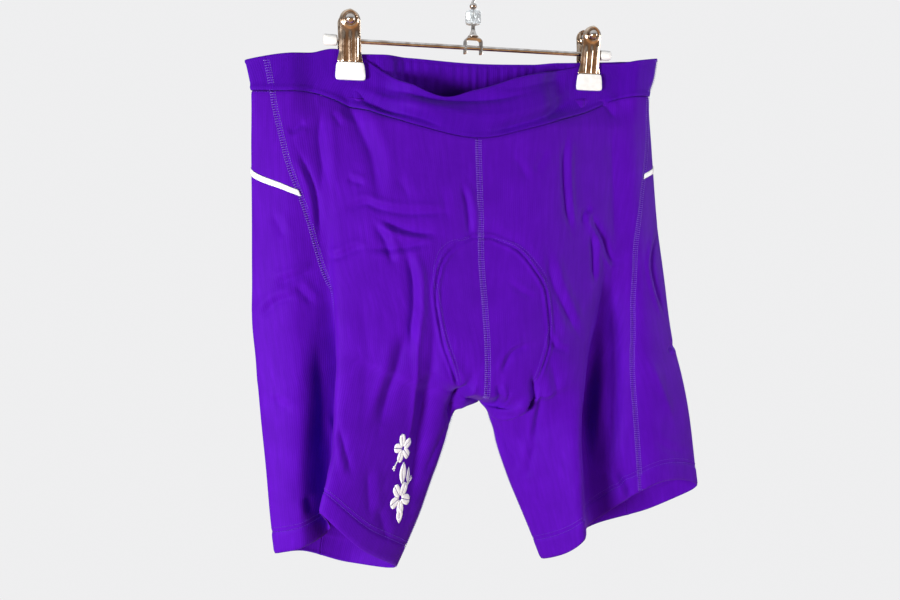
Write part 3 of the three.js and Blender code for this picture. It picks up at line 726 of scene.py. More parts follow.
def flat_lengths(points):
    """How far across and down a grid each point is, in centimetres."""
    return np.stack([lengths_along(points, 1), lengths_along(points, 0)], axis=-1) / 10


def cut_of(points):
    """Flat width, length and area of a panel in metres, before its creases."""
    width = lengths_along(points, 1)[:, -1].max() * MM
    length = lengths_along(points, 0)[-1].max() * MM
    a = points[1:, :-1] - points[:-1, :-1]
    b = points[:-1, 1:] - points[:-1, :-1]
    area = np.linalg.norm(np.cross(a, b), axis=-1).sum() * MM * MM
    return (width, length), min(area, width * length)


def panel_grid(u_from, u_to, v_from, v_to, rows, cols, folded=False):
    """u and v over one stretch, with a slit's half width kept clear along its edges."""
    s = np.linspace(0, 1, cols)[None, :]
    t = np.linspace(0, 1, rows)[:, None]
    edge = SEAM_SLIT / 2 / LEG_LENGTH
    v = mix(v_from(s), v_to(s), t) + 0 * s
    v = np.clip(v, v_from(s) + edge, v_to(s) - edge)
    if folded:
        first, second = mix(u_from(v), OUTER, 2 * s), mix(OUTER, u_to(v), 2 * s - 1)
        return np.where(s < 0.5, first, second), v
    return mix(u_from(v), u_to(v), s), v


def fixed(value):
    return lambda other: value + 0 * other


def seam_of(side):
    return lambda v: read(LEVELS[side], "seam", v)


def join_of(side):
    low, high = TAPE[side]["fold"], TAPE[side]["seam"]
    return lambda s: mix(low, high, np.abs(2 * s - 1))


def seam_groove(points):
    """A slight dip along each edge of a panel, where its seam allowance turns in."""
    along_s, along_t = lengths_along(points, 1), lengths_along(points, 0)
    sides = np.minimum(along_s, along_s[:, -1:] - along_s)
    ends = np.minimum(along_t, along_t[-1:] - along_t)
    return -0.45 * np.exp(-(sides / 1.6) ** 2) - 0.8 * np.exp(-(ends / 1.8) ** 2)


def band_edges(points):
    """The band's rolled top edge, and its lower edge standing over the seam."""
    along = lengths_along(points, 0)
    roll = np.exp(-((along - 1.4) / 1.3) ** 2)
    lower = np.exp(-((along[-1:] - along - 2.2) / 2.2) ** 2)
    return 0.5 * roll + 0.7 * lower


def hem_step(v):
    """The hem is folded up inside: a dip along its stitches, and double cloth below them."""
    below = smooth(HEM_LINE - 0.004, HEM_LINE + 0.004, v)
    return 0.4 * below - 0.7 * np.exp(-((v - HEM_LINE) * LEG_LENGTH / 1.5) ** 2)


def cloth_wall(name, parts, material):
    """A panel from one grid, or a band from two that meet at the centre."""
    layers = []
    for side, u, v in parts:
        layer = [*skin(side, u, v), surface(side, u, v)]
        if len(parts) == 2 and side == "right":
            layer = [a[:, ::-1] for a in layer]
        layers.append(layer)
    points, normals, plain = (np.concatenate([pair[0], *(a[:, 1:] for a in pair[1:])], axis=1)
                              for pair in zip(*layers))
    band = len(parts) == 2
    raised = band_edges(plain) if band else seam_groove(plain) + hem_step(parts[0][2])
    points = points + normals * (raised * (1 - held(plain)))[..., None]
    uv = flat_lengths(plain) * (1, -1)
    uv[..., 0] -= uv[..., 0].mean(axis=1, keepdims=True)
    obj = wall_object(f"cloth_{name}", points, normals, np.full(points.shape[:2], WALL), uv)
    finish_piece(obj, material, "knit", name)


# Materials

def srgb(code):
    channels = [int(code[i:i + 2], 16) / 255 for i in (0, 2, 4)]
    return [c / 12.92 if c <= 0.04045 else ((c + 0.055) / 1.055) ** 2.4 for c in channels] + [1.0]


class Nodes:
    """The nodes of a material or of the world, made and joined in short lines."""

    def __init__(self, owner):
        owner.use_nodes = True
        self.tree = owner.node_tree

    def set(self, node, key, value):
        if isinstance(value, bpy.types.NodeSocket):
            self.tree.links.new(value, node.inputs[key])
        else:
            node.inputs[key].default_value = value

    def add(self, kind, output=None, inputs=None, **settings):
        """A new node, of which the named output is handed back."""
        node = self.tree.nodes.new("ShaderNode" + kind)
        for key, value in settings.items():
            setattr(node, key, value)
        for key, value in (inputs or {}).items():
            self.set(node, key, value)
        return node if output is None else node.outputs[output]

    def shade(self, **values):
        """A plain value is set on the shader's own socket, and a node's output is joined to it."""
        for key, value in values.items():
            self.set(self.tree.nodes["Principled BSDF"], key.replace("_", " "), value)

    def noise(self, place, scale, detail):
        return self.add("TexNoise", "Fac", {"Vector": place, "Scale": scale, "Detail": detail})

    def ramp(self, factor, *stops):
        node = self.add("ValToRGB", inputs={"Fac": factor})
        while len(node.color_ramp.elements) < len(stops):
            node.color_ramp.elements.new(0.5)
        for element, (place, colour) in zip(node.color_ramp.elements, stops):
            element.position = place
            element.color = srgb(colour) if isinstance(colour, str) else colour
        return node.outputs["Color"]

    def bump(self, height, strength, distance, **under):
        inputs = {"Height": height, "Strength": strength, "Distance": distance, **under}
        return self.add("Bump", "Normal", inputs)


def knit_material(name, dark, light, rough=0.58):
    """Fine upright ribs of a stretch knit, with a soft satin sheen."""
    material = bpy.data.materials.new(name)
    m = Nodes(material)
    uv = m.add("UVMap", "UV", uv_map="cloth")
    ribs = {"Vector": uv, "Scale": 1.75, "Distortion": 0.4, "Detail": 1.0, "Detail Scale": 3.0}
    wales = m.add("TexWave", "Fac", ribs, wave_type="BANDS", bands_direction="X")
    rows = {"Vector": uv, "Scale": 2.6, "Distortion": 0.6}
    courses = m.add("TexWave", "Fac", rows, wave_type="BANDS", bands_direction="Y")
    streaks = m.add("Mapping", "Vector", {"Vector": uv, "Scale": (3.0, 0.35, 1.0)})
    shares = {0: m.noise(uv, 0.35, 3.0), 1: m.noise(streaks, 1.0, 2.0)}
    blend = m.add("Math", "Value", shares, operation="MULTIPLY")
    fine = m.bump(wales, 0.22, 0.0004)
    m.shade(Base_Color=m.ramp(blend, (0.1, dark), (0.5, light)), Roughness=rough,
            Normal=m.bump(courses, 0.13, 0.0003, Normal=fine),
            Specular_IOR_Level=0.11, Specular_Tint=srgb("B478FF"),
            Sheen_Weight=0.1, Sheen_Roughness=0.42, Sheen_Tint=srgb("A088FC"))
    return material


def grained_material(name, grain, stops, relief, **looks):
    """Two shades of one colour in a fine grain, which stands up a little."""
    material = bpy.data.materials.new(name)
    m = Nodes(material)
    noise = m.noise(m.add("TexCoord", "Object"), *grain)
    m.shade(Base_Color=m.ramp(noise, *stops), Normal=m.bump(noise, *relief), **looks)
    return material


def thread_material(name, dark, light):
    """Twisted sewing thread."""
    stops = [(0.3, dark), (0.7, light)]
    return grained_material(name, (2500.0, 1.0), stops, (0.3, 0.0001), Roughness=0.55)


def chrome_material(name, dark, light):
    """Plated steel with faint smudges and fine drawn lines."""
    material = bpy.data.materials.new(name)
    m = Nodes(material)
    place = m.add("TexCoord", "Object")
    smudge = m.noise(place, 160.0, 4.0)
    rough = m.add("MapRange", "Result", {"Value": smudge, "To Min": 0.08, "To Max": 0.3})
    m.shade(Base_Color=m.ramp(smudge, (0.3, dark), (0.7, light)), Roughness=rough,
            Normal=m.bump(m.noise(place, 900.0, 2.0), 0.06, 0.0001), Metallic=1.0)
    return material


KNIT = knit_material("knit", "4B0A9B", "560EAE")
BAND = knit_material("band_knit", "420894", "4D0BA4")
PAD_KNIT = knit_material("pad_knit", "360878", "460D92", 0.75)
THREAD = thread_material("thread", "6436C0", "9870DC")
HEM_THREAD = thread_material("hem_thread", "5620B2", "7440C8")
PAD_THREAD = thread_material("pad_thread", "4A1E9C", "7A4CC8")
CHROME = chrome_material("chrome", "A89C92", "DAD8D6")
# The clip jaws' steel is tinted warm brown and tan: a painted reflection of warm surroundings on
# plain chrome.
CLIP_STEEL_PAINTED_REFLECTION = chrome_material("clip_steel_painted_reflection", "A68C74", "E0D0BE")

# Glass-bead reflective tape, rubbery print with worn specks, soft vinyl and clear plastic
TAPE_FINISH = grained_material(
    "reflective_tape", (3000.0, 2.0), [(0.3, "E4E4EA"), (0.7, "FBFBFF")], (0.15, 0.0001),
    Roughness=0.38)
PRINT = grained_material(
    "flower_print", (900.0, 4.0), [(0.28, "D2C8EA"), (0.34, "FDFDFE")], (0.2, 0.0001),
    Roughness=0.45)
VINYL = grained_material(
    "vinyl", (220.0, 3.0), [(0.3, "EDEDEA"), (0.7, "FBFBF9")], (0.1, 0.0003),
    Roughness=0.35, Subsurface_Weight=0.15, Subsurface_Radius=(0.002, 0.002, 0.002),
    Coat_Weight=0.2)
CLEAR = grained_material(
    "clear_plastic", (260.0, 2.0), [(0.3, "DFE6EA"), (0.7, "F6FAFC")], (0.15, 0.0003),
    Roughness=0.12, Transmission_Weight=0.75, IOR=1.45)


# Shorts

def count(n):
    return int(n * (1.0)) + 1


def make_bands():
    for name, end, cols in (("front", 0.0, 120), ("back", BACK_END, 170)):
        parts = []
        for side in HALVES:
            u, v = panel_grid(fixed(end), seam_of(side), fixed(TOP), fixed(0.0),
                              count(44), count(cols))
            parts.append((side, u, v))
        cloth_wall(f"waistband_{name}", parts, BAND)


def make_panels():
    top, hem, back_seam = fixed(0.0), fixed(1.0), fixed(BACK_SEAM)
    for side in HALVES:
        seam, join = seam_of(side), join_of(side)
        pieces = [
            ("front", fixed(0.0), seam, top, hem, 280, 140, False),
            ("back", back_seam, fixed(BACK_END), top, hem, 190, 70, False),
            ("side_upper", seam, back_seam, top, join, 44, 90, True),
            ("side_lower", seam, back_seam, join, hem, 210, 96, True),
        ]
        for name, *edges, rows, cols, folded in pieces:
            u, v = panel_grid(*edges, count(rows), count(cols), folded)
            cloth_wall(f"{name}_{side}", [(side, u, v)], KNIT)


def make_strips():
    half = TAPE_WIDTH / 2 / LEG_LENGTH
    for side in HALVES:
        join = join_of(side)
        u, v = panel_grid(seam_of(side), fixed(BACK_SEAM), lambda s: join(s) - half,
                          lambda s: join(s) + half, len(TAPE_WALLS), count(90), True)
        points, normals = skin(side, u, v, WALL / 2 + 0.45)
        thickness = np.array(TAPE_WALLS)[:, None] + 0 * u
        obj = wall_object(f"tape_{side}", points, normals, thickness)
        finish_piece(obj, TAPE_FINISH, "reflective_tape", f"strip_{side}")
        (_, length), area = cut_of(points.swapaxes(0, 1))


def way_at(side, x, v, back):
    """The way round at which a half's row reaches x."""
    near = np.full(v.shape, BACK_END if back else 0.0)
    far = np.full(v.shape, OUTER + 1 if back else 2.0)
    for _ in range(24):
        middle = (near + far) / 2
        short = (inside_half(side, middle, v)[..., 0] - x) * SIGN[side] < 0
        near, far = np.where(short, middle, near), np.where(short, far, middle)
    return (near + far) / 2


def pad_rows(rows, back):
    """Middle points, normals and thickness of the pad over some rows, from right to left."""
    halves = []
    for side, shares in (("right", np.linspace(-1, -0.05, 20)), ("left", np.linspace(0, 1, 21))):
        v, k = np.meshgrid(rows, shares, indexing="ij")
        x = read(CENTRE, "x", v) + k * read(PAD, side, v)
        u = way_at(side, x, v, back)
        normals = normal_at(side, u, v)
        ends = smooth(PAD["v"][0], PAD["v"][0] + 0.06, v)
        thickness = mix(PAD_RIM, PAD_WALL, (1 - abs(k) ** 3) * ends)
        inward = PAD_GAP + thickness / 2 + 4 * smooth(0.42, PAD_LOWEST, v)
        halves.append((surface(side, u, v) - normals * inward[..., None], normals, thickness))
    return [np.concatenate(pair, axis=1) for pair in zip(*halves)]


def make_pad():
    front = pad_rows(np.linspace(PAD["v"][0], PAD_LOWEST, 50), False)
    back = pad_rows(np.linspace(PAD_LOWEST, PAD_BACK_TOP, 44), True)
    points, normals, thickness = (np.concatenate(pair) for pair in zip(front, back))
    channel = 0.8 * np.exp(-((np.linspace(-1, 1, 41) / 0.12) ** 2))[None, :]
    obj = wall_object("chamois", points, normals, np.maximum(thickness - channel, 0.8))
    finish_piece(obj, PAD_KNIT, "pad", "seat_pad")


# Stitches

def thread_mesh(name, runs, radius, material):
    """Each run is three points and the way up; each becomes a thin four-sided thread."""
    pattern = np.array(ring_faces(3, 4))
    points, faces = [], []
    for run, up in runs:
        run = np.asarray(run)
        way = unit(run[-1] - run[0])
        side = unit(np.cross(way, up))
        top = np.cross(side, way)
        faces.extend(pattern + len(points))
        corners = radius * np.array([side, -top, -side, top])
        points.extend((run[:, None] + corners).reshape(-1, 3))
    finish_piece(new_object(name, points, faces), material)


def along_surface(side, u, v, step, lift):
    """Evenly spaced points along a path on the finished surface, with normals, ways and across."""
    points, normals = skin(side, u, v, lift)
    run = np.concatenate([[0], np.cumsum(np.linalg.norm(np.diff(points, axis=0), axis=1))])
    at = np.arange(step / 2, run[-1], step)
    points, normals = (np.stack([np.interp(at, run, a[:, k]) for k in range(3)], 1)
                       for a in (points, normals))
    normals = unit(normals)
    way = unit(np.gradient(points, axis=0))
    return points, normals, way, unit(np.cross(normals, way))


def make_ladder(name, side, u, v, width, radius):
    """Two rows of stitches with rungs between them, as a flatlock seam shows."""
    runs = []
    for p, n, w, c in zip(*along_surface(side, u, v, 1.9, STITCH_LIFT)):
        for edge in (-0.5, 0.5):
            a = p + c * edge * width
            runs.append(([a - w * 0.62, a + n * 0.12, a + w * 0.62], n))
        reach = c * width * 0.46
        runs.append(([p - reach, p + n * 0.14, p + reach + w * 0.25], n))
    thread_mesh(name, runs, radius, THREAD)


def plain_row(side, u, v, step=2.2, lift=STITCH_LIFT):
    """The runs of one row of plain stitches."""
    return [([p - w * 0.75, p + n * 0.1, p + w * 0.75], n)
            for p, n, w, _ in zip(*along_surface(side, u, v, step, lift))]


def make_stitches():
    v = np.linspace(0.004, 0.572, 200)
    make_ladder("stitch_centre_front", "left", 0 * v, v, 4.8, 0.16)
    make_ladder("stitch_centre_back", "left", 0 * v + BACK_END, v, 4.8, 0.16)
    for side in HALVES:
        v = np.linspace(TOP + 0.003, 0.998, 320)
        make_ladder(f"stitch_front_seam_{side}", side, seam_of(side)(v), v, 4.2, 0.15)
        make_ladder(f"stitch_back_seam_{side}", side, BACK_SEAM + 0 * v, v, 4.2, 0.15)
        v = np.linspace(CROTCH + 0.03, 0.998, 160)
        make_ladder(f"stitch_inseam_{side}", side, 0.02 + 0 * v, v, 4.2, 0.15)
        u = np.linspace(0.02, BACK_END - 0.02, 500)
        rows = [plain_row(side, u, HEM_LINE - gap + 0 * u) for gap in (0.0, 4.0 / LEG_LENGTH)]
        thread_mesh(f"stitch_hem_{side}", sum(rows, []), 0.13, HEM_THREAD)
        u = np.linspace(seam_of(side)(np.array(0.0)), BACK_END, 420)
        rows = [plain_row(side, u, gap + 0 * u) for gap in (-0.0035, 0.0035)]
        thread_mesh(f"stitch_waist_{side}", sum(rows, []), 0.12, HEM_THREAD)


def make_pad_stitches():
    """Two rows of stitches along the pad's edge, on the front."""
    runs = []
    v = np.linspace(PAD["v"][0] + 0.002, 0.555, 150)
    for side in HALVES:
        for gap in (-1.5, 1.5):
            x = read(CENTRE, "x", v) + SIGN[side] * (read(PAD, side, v) + gap)
            runs += plain_row(side, way_at(side, x, v, False), v, 2.3, WALL / 2 + 0.05)
    thread_mesh("stitch_pad", runs, 0.11, PAD_THREAD)


# Print: an ordinary chain of blossoms and leaves, drawn flat in millimetres from its middle

PRINT_AT = (-69.0, -462.0)
BLOSSOM_SLANT = 0.64


def petal(length, width):
    t = np.linspace(0, 1, 15)
    half = width / 2 * np.sin(math.pi * t ** 0.75) ** 0.8
    right = np.stack([half, length * t], 1)
    return np.concatenate([right, (right * (-1, 1))[-2:0:-1]])


def half_petal(length, width, share):
    """One side of a broad petal, with a wavy tip, beside the bare vein down its middle."""
    t = np.linspace(0, 1, 16)
    outer = width / 2 * np.sin(math.pi * (0.06 + 0.94 * t) ** 1.25) ** 0.55
    tip = length * (1 + 0.05 * np.cos(9 * t))
    rim = np.stack([share * np.maximum(outer, 0.35), tip * (0.1 + 0.9 * t)], 1)
    vein = np.stack([share * 0.3 + 0 * t, length * (0.14 + 0.7 * t)], 1)[::-1]
    return np.concatenate([rim, vein])


def turned(shape, degrees, at):
    a = math.radians(degrees)
    turn = np.array([[math.cos(a), -math.sin(a)], [math.sin(a), math.cos(a)]])
    return shape @ turn.T + at


def blossom(at, size, lean):
    """Five petals, seen aslant, each split by a bare vein."""
    return [turned(half_petal(size, 0.6 * size, share), lean + 72 * k, (0, 0))
            * (BLOSSOM_SLANT, 1.0) + at for k in range(5) for share in (-1, 1)]


def stamen(at, length, lean):
    """A stalk with four knobs near its tip."""
    shapes = [np.array([(-0.35, 2.0), (0.35, 2.0), (0.55, length), (-0.55, length)])]
    for k in range(4):
        shapes.append(petal(1.7, 1.4) + ((-1) ** k * 0.9, length - 2.6 + 0.9 * k))
    return [turned(shape, lean, at) for shape in shapes]


def leaf(at, length, width, lean):
    shapes = []
    t = np.linspace(0, 1, 12)
    for share in (-1, 1):
        outer = np.stack([share * width / 2 * np.sin(math.pi * t) ** 0.9, length * t], 1)
        inner = np.stack([share * 0.28 + 0 * t, length * (0.06 + 0.88 * t)], 1)[::-1]
        shapes.append(turned(np.concatenate([outer, inner]), lean, at))
    return shapes


def print_shapes():
    shapes = blossom((1.0, 29.0), 14.5, 8)
    shapes += stamen((0.0, 27.0), 17.0, 152)
    shapes += leaf((1.0, -6.0), 22.0, 7.0, -3)
    shapes += leaf((7.0, -8.0), 17.0, 3.6, -4)
    shapes += blossom((-1.0, -18.0), 17.0, 34)
    shapes += leaf((-1.5, -26.0), 17.0, 6.4, 178)
    shapes += stamen((0.0, -16.0), 17.0, -42)
    return shapes


def locate(side, flat, u, v):
    """u and v at which the half's surface shows the given x and z, from a first guess."""
    u = np.full(len(flat), float(u))
    v = np.full(len(flat), float(v))
    for _ in range(12):
        at = surface(side, u, v)[:, (0, 2)]
        du = (surface(side, u + 0.01, v)[:, (0, 2)] - at) / 0.01
        dv = (surface(side, u, v + 0.002)[:, (0, 2)] - at) / 0.002
        miss = flat - at
        det = du[:, 0] * dv[:, 1] - du[:, 1] * dv[:, 0]
        u += np.clip((miss[:, 0] * dv[:, 1] - miss[:, 1] * dv[:, 0]) / det, -0.2, 0.2)
        v += np.clip((du[:, 0] * miss[:, 1] - du[:, 1] * miss[:, 0]) / det, -0.05, 0.05)
    return u, v


def make_print():
    """Each shape is a thin raised patch: an outline, a ring inside it and a middle point."""
    flats, faces, start = [], [], 0
    shapes = print_shapes()
    total = sum(2 * len(shape) + 1 for shape in shapes)
    for shape in shapes:
        n, middle = len(shape), shape.mean(axis=0)
        flats += [shape, middle + (shape - middle) * 0.55, middle[None]]
        for i in range(n):
            j = (i + 1) % n
            for base, way in ((start, -1), (start + total, 1)):
                faces.append([base + i, base + j, base + n + j, base + n + i][::way])
                faces.append([base + n + i, base + n + j, base + 2 * n][::way])
            faces.append([start + i, start + j, start + total + j, start + total + i])
        start += 2 * n + 1
    u, v = locate("right", np.concatenate(flats) + PRINT_AT, 0.7, 0.78)
    layers = [skin("right", u, v, WALL / 2 + lift)[0] for lift in (0.2, 0.02)]
    obj = new_object("flower_print", np.concatenate(layers), faces)
    merge_doubles(obj)
    finish_piece(obj, PRINT, "reflective_tape")


# Hanger

def make_bar():
    low, high = BAR_ENDS["right"], BAR_ENDS["left"]
    profile = [(0, low), (BAR_RADIUS - 0.3, low), (BAR_RADIUS, low + 0.3)]
    profile += [(BAR_RADIUS, x) for x in np.linspace(low + 4, high - 4, 20)]
    profile += [(BAR_RADIUS, high - 0.3), (BAR_RADIUS - 0.3, high), (0, high)]
    obj = turned_piece("rail_bar", profile, (0, 0, BAR_Z), "X")
    finish_piece(obj, CHROME, "chrome", "bar")
    bore, wide, end = BAR_RADIUS + FIT, CAP_RADIUS, CAP_LENGTH
    cap = [(0, 0), (wide - 1.4, 0), (wide - 0.5, 0.3), (wide, 1.4), (wide, end - 1.2),
           (wide - 0.4, end - 0.3), (wide - 1, end), (bore, end), (bore, CAP_END), (0, CAP_END)]
    for side, way in (("right", 1), ("left", -1)):
        tip = BAR_ENDS[side] - way * (CAP_END + FIT)
        profile = [(r, tip + way * h) for r, h in cap]
        obj = turned_piece(f"sleeve_end_{side}", profile, (0, 0, BAR_Z), "X")
        finish_piece(obj, VINYL, "vinyl", f"end_cap_{side}")


def make_bridge():
    """A bent strap over the bar."""
    half, shoulder = BRIDGE_HALF - 1, BRIDGE_TOP - 1 - STRAP_BEND
    line = [(-half, z) for z in np.linspace(BRIDGE_BOTTOM, shoulder, 5)]
    for middle, first in ((STRAP_BEND - half, 180), (half - STRAP_BEND, 90)):
        for a in np.radians(np.linspace(first, first - 90, 8)):
            line.append((middle + STRAP_BEND * math.cos(a), shoulder + STRAP_BEND * math.sin(a)))
    line += [(half, z) for z in np.linspace(shoulder, BRIDGE_BOTTOM, 5)]
    way = unit(np.gradient(np.array(line), axis=0))
    thick, wide = np.array(STRAP_SECTION).T
    rings = []
    for (x, z), (dx, dz) in zip(line, way):
        rings.append(np.stack([x - dz * thick, wide, z + dx * thick], 1))
    obj = ring_object("strap", rings)
    bevel = obj.modifiers.new("bevel", "BEVEL")
    bevel.width = 0.4 * MM
    bevel.segments = 3
    bevel.limit_method = "ANGLE"
    finish_piece(obj, CHROME, "chrome", "bridge")


def make_hook():
    """The wire with its crook, a collar, the flared foot, and the clear bead on it."""
    line = [(0, BRIDGE_TOP + FIT), (0, -70), (0, -62), (0, -55), (5, -45), (15, -34)]
    for a in np.radians(range(-10, 206, 15)):
        line.append(((CROOK + WIRE) * math.cos(a), (CROOK + WIRE) * math.sin(a) - CROOK))
    line = np.insert(spline(line, 10), 1, 0, axis=1)
    across = (0, 1, 0)
    up = unit(np.cross(unit(np.gradient(line, axis=0)), across))
    obj = wire_object("hook_wire", line, up, across, WIRE, 16)
    finish_piece(obj, CHROME, "chrome", "hook")
    collar = [(WIRE, -60), (2.6, -59.6), (3.1, -58), (2.6, -56.4), (WIRE, -56), (WIRE, -60)]
    flare = [(WIRE, -76), (WIRE + 0.3, -78), (WIRE + 1.4, -81), (4.6, -82.6), (4.6, -83.1),
             (WIRE, -83.1), (WIRE, -76)]
    for name, profile in (("hook_collar", collar), ("hook_flare", flare)):
        finish_piece(turned_piece(name, profile, (0, 0, 0), "Z", 32), CHROME, "chrome")
    bore, low, high, wide = WIRE + FIT, BEAD_BOTTOM, BEAD_TOP, BEAD_RADIUS
    bead = [(bore, low), (wide - 1.6, low), (wide - 0.5, low + 0.5), (wide, low + 1.6),
            (wide, high - 1.6), (wide - 0.5, high - 0.5), (wide - 1.6, high), (bore, high),
            (bore, low)]
    obj = turned_piece("size_bead", bead, (0, 0, 0), "Z")
    finish_piece(obj, CLEAR, "clear_plastic", "bead")


def jaw_half_width(b):
    """Half width of a jaw's plate at a share of its height: flared foot and round top."""
    foot = 1.5 * (1 - smooth(0, 0.22, b))
    top = JAW_WIDTH / 2 - 0.6
    eye = (JAW_HEIGHT - top) / JAW_HEIGHT
    rise = np.clip((b - eye) * JAW_HEIGHT / top, 0, 0.999)
    return (JAW_WIDTH / 2 + foot - 0.6 * smooth(0.3, 0.6, b)) * np.sqrt(1 - rise ** 2)


def make_jaw(side, face, word):
    """A pressed plate with turned-back edges, a wire eye, and upright ribs on its lower part."""
    a = np.linspace(-1, 1, count(36))[None, :]
    b = 1 - (1 - np.linspace(0, 1, count(60))[:, None]) ** 1.25
    x, up = a * jaw_half_width(b), b * JAW_HEIGHT
    ribs = sum(np.exp(-((x - rib) / 1.15) ** 2) for rib in (-5.2, 0.0, 5.2))
    eye = np.hypot(x, up - EYE_UP)
    out = 0.9 * ribs * smooth(0.62, 0.42, b) - 1.4 * np.abs(a) ** 4
    out += 0.9 * np.exp(-((eye - EYE_RADIUS - 0.9) / 0.8) ** 2) - 1.1 * smooth(4.6, 3.6, eye)
    y = face * (JAW_FOOT_Y + up * math.sin(JAW_LEAN) + out)
    z = JAW_FOOT_Z + up * math.cos(JAW_LEAN) + 0 * x
    points = np.stack([x + CLIP_X[side], y, z], axis=-1)
    normals = 0 * points + (0, face, 0)
    obj = wall_object(f"jaw_{word}_{side}", points, normals, np.full(x.shape, 1.1))
    merge_doubles(obj)
    finish_piece(obj, CLIP_STEEL_PAINTED_REFLECTION, "chrome", f"clip_jaw_{word}_{side}")


def make_sleeve(side, face, word):
    """Soft vinyl over the jaw's foot, a little wider at the bottom."""
    a = 2 * math.pi * np.arange(64) / 64
    x = np.sign(np.cos(a)) * np.abs(np.cos(a)) ** 0.28 * SLEEVE_WIDTH / 2
    y = np.sign(np.sin(a)) * np.abs(np.sin(a)) ** 0.45 * SLEEVE_DEPTH / 2
    rings = []
    for share, size in SLEEVE_SIZES:
        rings.append(np.stack([CLIP_X[side] + x * mix(1, 0.93, share) * size,
                               face * SLEEVE_Y + y * min(1, size + 0.1),
                               mix(SLEEVE_BOTTOM, SLEEVE_TOP, share) + 0 * a], 1))
    obj = ring_object(f"grip_{word}_{side}", rings)
    rounding = obj.modifiers.new("smooth", "SUBSURF")
    rounding.levels = rounding.render_levels = 1
    finish_piece(obj, VINYL, "vinyl", f"clip_sleeve_{word}_{side}")


def make_stud(side):
    """A pin between two round heads."""
    y = JAW_FOOT_Y + EYE_UP * math.sin(JAW_LEAN)
    z = JAW_FOOT_Z + EYE_UP * math.cos(JAW_LEAN)
    head, pin = EYE_RADIUS - 0.5, 1.4
    bend = np.linspace(0, math.pi - math.asin(pin / head), 20)
    profile = [(head * math.sin(a), y + head * math.cos(a)) for a in bend]
    profile += [(r, -h) for r, h in profile[::-1]]
    obj = turned_piece(f"rivet_{side}", profile, (CLIP_X[side], 0, z), "Y")
    finish_piece(obj, CHROME, "chrome", f"clip_stud_{side}")


def make_spring(side):
    """A close coil round the bar."""
    turns, steps, wire, radius, length = 7, 20, 0.75, 3.7, 10.4
    a = 2 * math.pi * np.arange(turns * steps + 1) / steps
    out = np.stack([0 * a, np.cos(a), np.sin(a)], 1)
    line = radius * out + (CLIP_X[side], 0, BAR_Z)
    line[:, 0] += length * np.linspace(-0.5, 0.5, len(a))
    obj = wire_object(f"coil_{side}", line, out, (1, 0, 0), wire, 8)
    finish_piece(obj, CHROME, "chrome", f"clip_spring_{side}")


def make_hanger():
    make_bar()
    make_bridge()
    make_hook()
    for side in HALVES:
        for face, word in ((-1, "front"), (1, "back")):
            make_jaw(side, face, word)
            make_sleeve(side, face, word)
        make_stud(side)
        make_spring(side)


# Camera, light and surroundings

BACKDROP = (0.86, 0.86, 0.868, 1.0)
LIGHT_TARGET = Vector((0.0, 0.0, -0.3))
FLOOR_HALF = 40000.0
FLOOR_Z = -950.0


def make_camera():
    data = bpy.data.cameras.new("camera")
    data.lens = CAMERA_LENS
    data.sensor_width = 36.0
    data.clip_start = 0.01
    data.clip_end = 60.0
    camera = bpy.data.objects.new("camera", data)
    bpy.context.scene.collection.objects.link(camera)
    yaw, pitch = math.radians(CAMERA_YAW), math.radians(CAMERA_PITCH)
    ahead, up = math.cos(pitch), math.sin(pitch)
    look = Vector((math.sin(yaw) * ahead, math.cos(yaw) * ahead, up))
    camera.location = CAMERA_AT
    camera.rotation_euler = look.to_track_quat("-Z", "Y").to_euler()
    bpy.context.scene.camera = camera


def area_light(name, at, size, power, colour, mirrored):
    """A square light. One that isn't mirrored leaves no highlight."""
    data = bpy.data.lights.new(name, "AREA")
    data.size = size
    data.energy = power
    data.color = colour
    light = bpy.data.objects.new(name, data)
    bpy.context.scene.collection.objects.link(light)
    light.location = at
    light.visible_glossy = mirrored
    light.rotation_euler = (LIGHT_TARGET - Vector(at)).to_track_quat("-Z", "Y").to_euler()


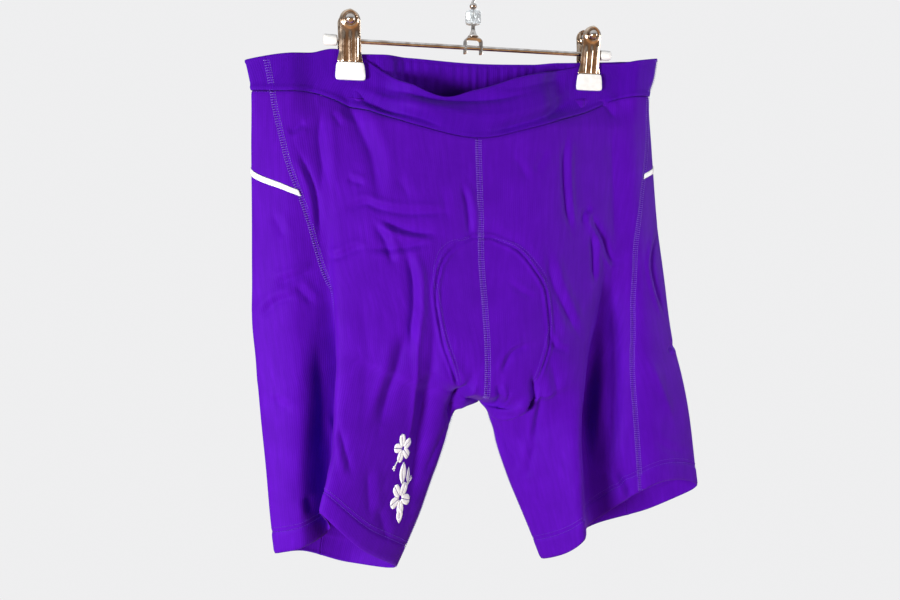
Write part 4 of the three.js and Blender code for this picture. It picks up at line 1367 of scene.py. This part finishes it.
def make_world():
    """Bright all round to the eye, dimmer and warm below as a source of light."""
    world = bpy.data.worlds.new("world")
    bpy.context.scene.world = world
    w = Nodes(world)
    w.tree.nodes.clear()
    height = w.add("SeparateXYZ", "Z", {0: w.add("TexCoord", "Generated")})
    share = w.add("MapRange", "Result", {"Value": height, "From Min": -1.0})
    colour = w.ramp(share, (0.4, (0.62, 0.34, 0.16, 1)), (0.53, (0.1, 0.085, 0.08, 1)),
                    (0.8, (0.85, 0.87, 0.9, 1)))
    path = w.add("LightPath")
    gloss = {"Value": path.outputs["Is Glossy Ray"], "To Min": 0.31, "To Max": 1.0}
    strength = w.add("MapRange", "Result", gloss)
    cast = w.add("Background", 0, {"Color": colour, "Strength": strength})
    seen = w.add("Background", 0, {"Color": BACKDROP})
    blend = w.add("MixShader", 0, {0: path.outputs["Is Camera Ray"], 1: cast, 2: seen})
    w.add("OutputWorld", inputs={"Surface": blend})


def make_floor():
    """A pale ground far below, which lights and mirrors nothing."""
    a, z = FLOOR_HALF, FLOOR_Z
    floor = new_object("floor", [(-a, -a, z), (a, -a, z), (a, a, z), (-a, a, z)], [(0, 1, 2, 3)])
    material = bpy.data.materials.new("pale_floor")
    m = Nodes(material)
    m.tree.nodes.clear()
    m.add("OutputMaterial", inputs={"Surface": m.add("Emission", 0, {"Color": BACKDROP})})
    floor.data.materials.append(material)
    floor.visible_diffuse = False
    floor.visible_glossy = False
    floor.visible_shadow = False


def make_stage():
    make_camera()
    make_world()
    make_floor()
    area_light("key", (-1.2, -0.9, -0.58), 0.4, 33.0, (1.0, 0.99, 0.98), True)
    area_light("fill", (1.0, -1.1, -0.35), 0.6, 8.5, (0.97, 0.98, 1.0), False)
    area_light("side", (1.48, -0.26, -0.1), 0.4, 6.0, (1, 1, 1), True)
    area_light("behind", (1.1, 1.1, 0.1), 0.6, 26.0, (1, 1, 1), False)
    bpy.context.scene.view_settings.view_transform = "Standard"


make_stage()
make_bands()
make_panels()
make_strips()
make_pad()
make_stitches()
make_pad_stitches()
make_print()
make_hanger()
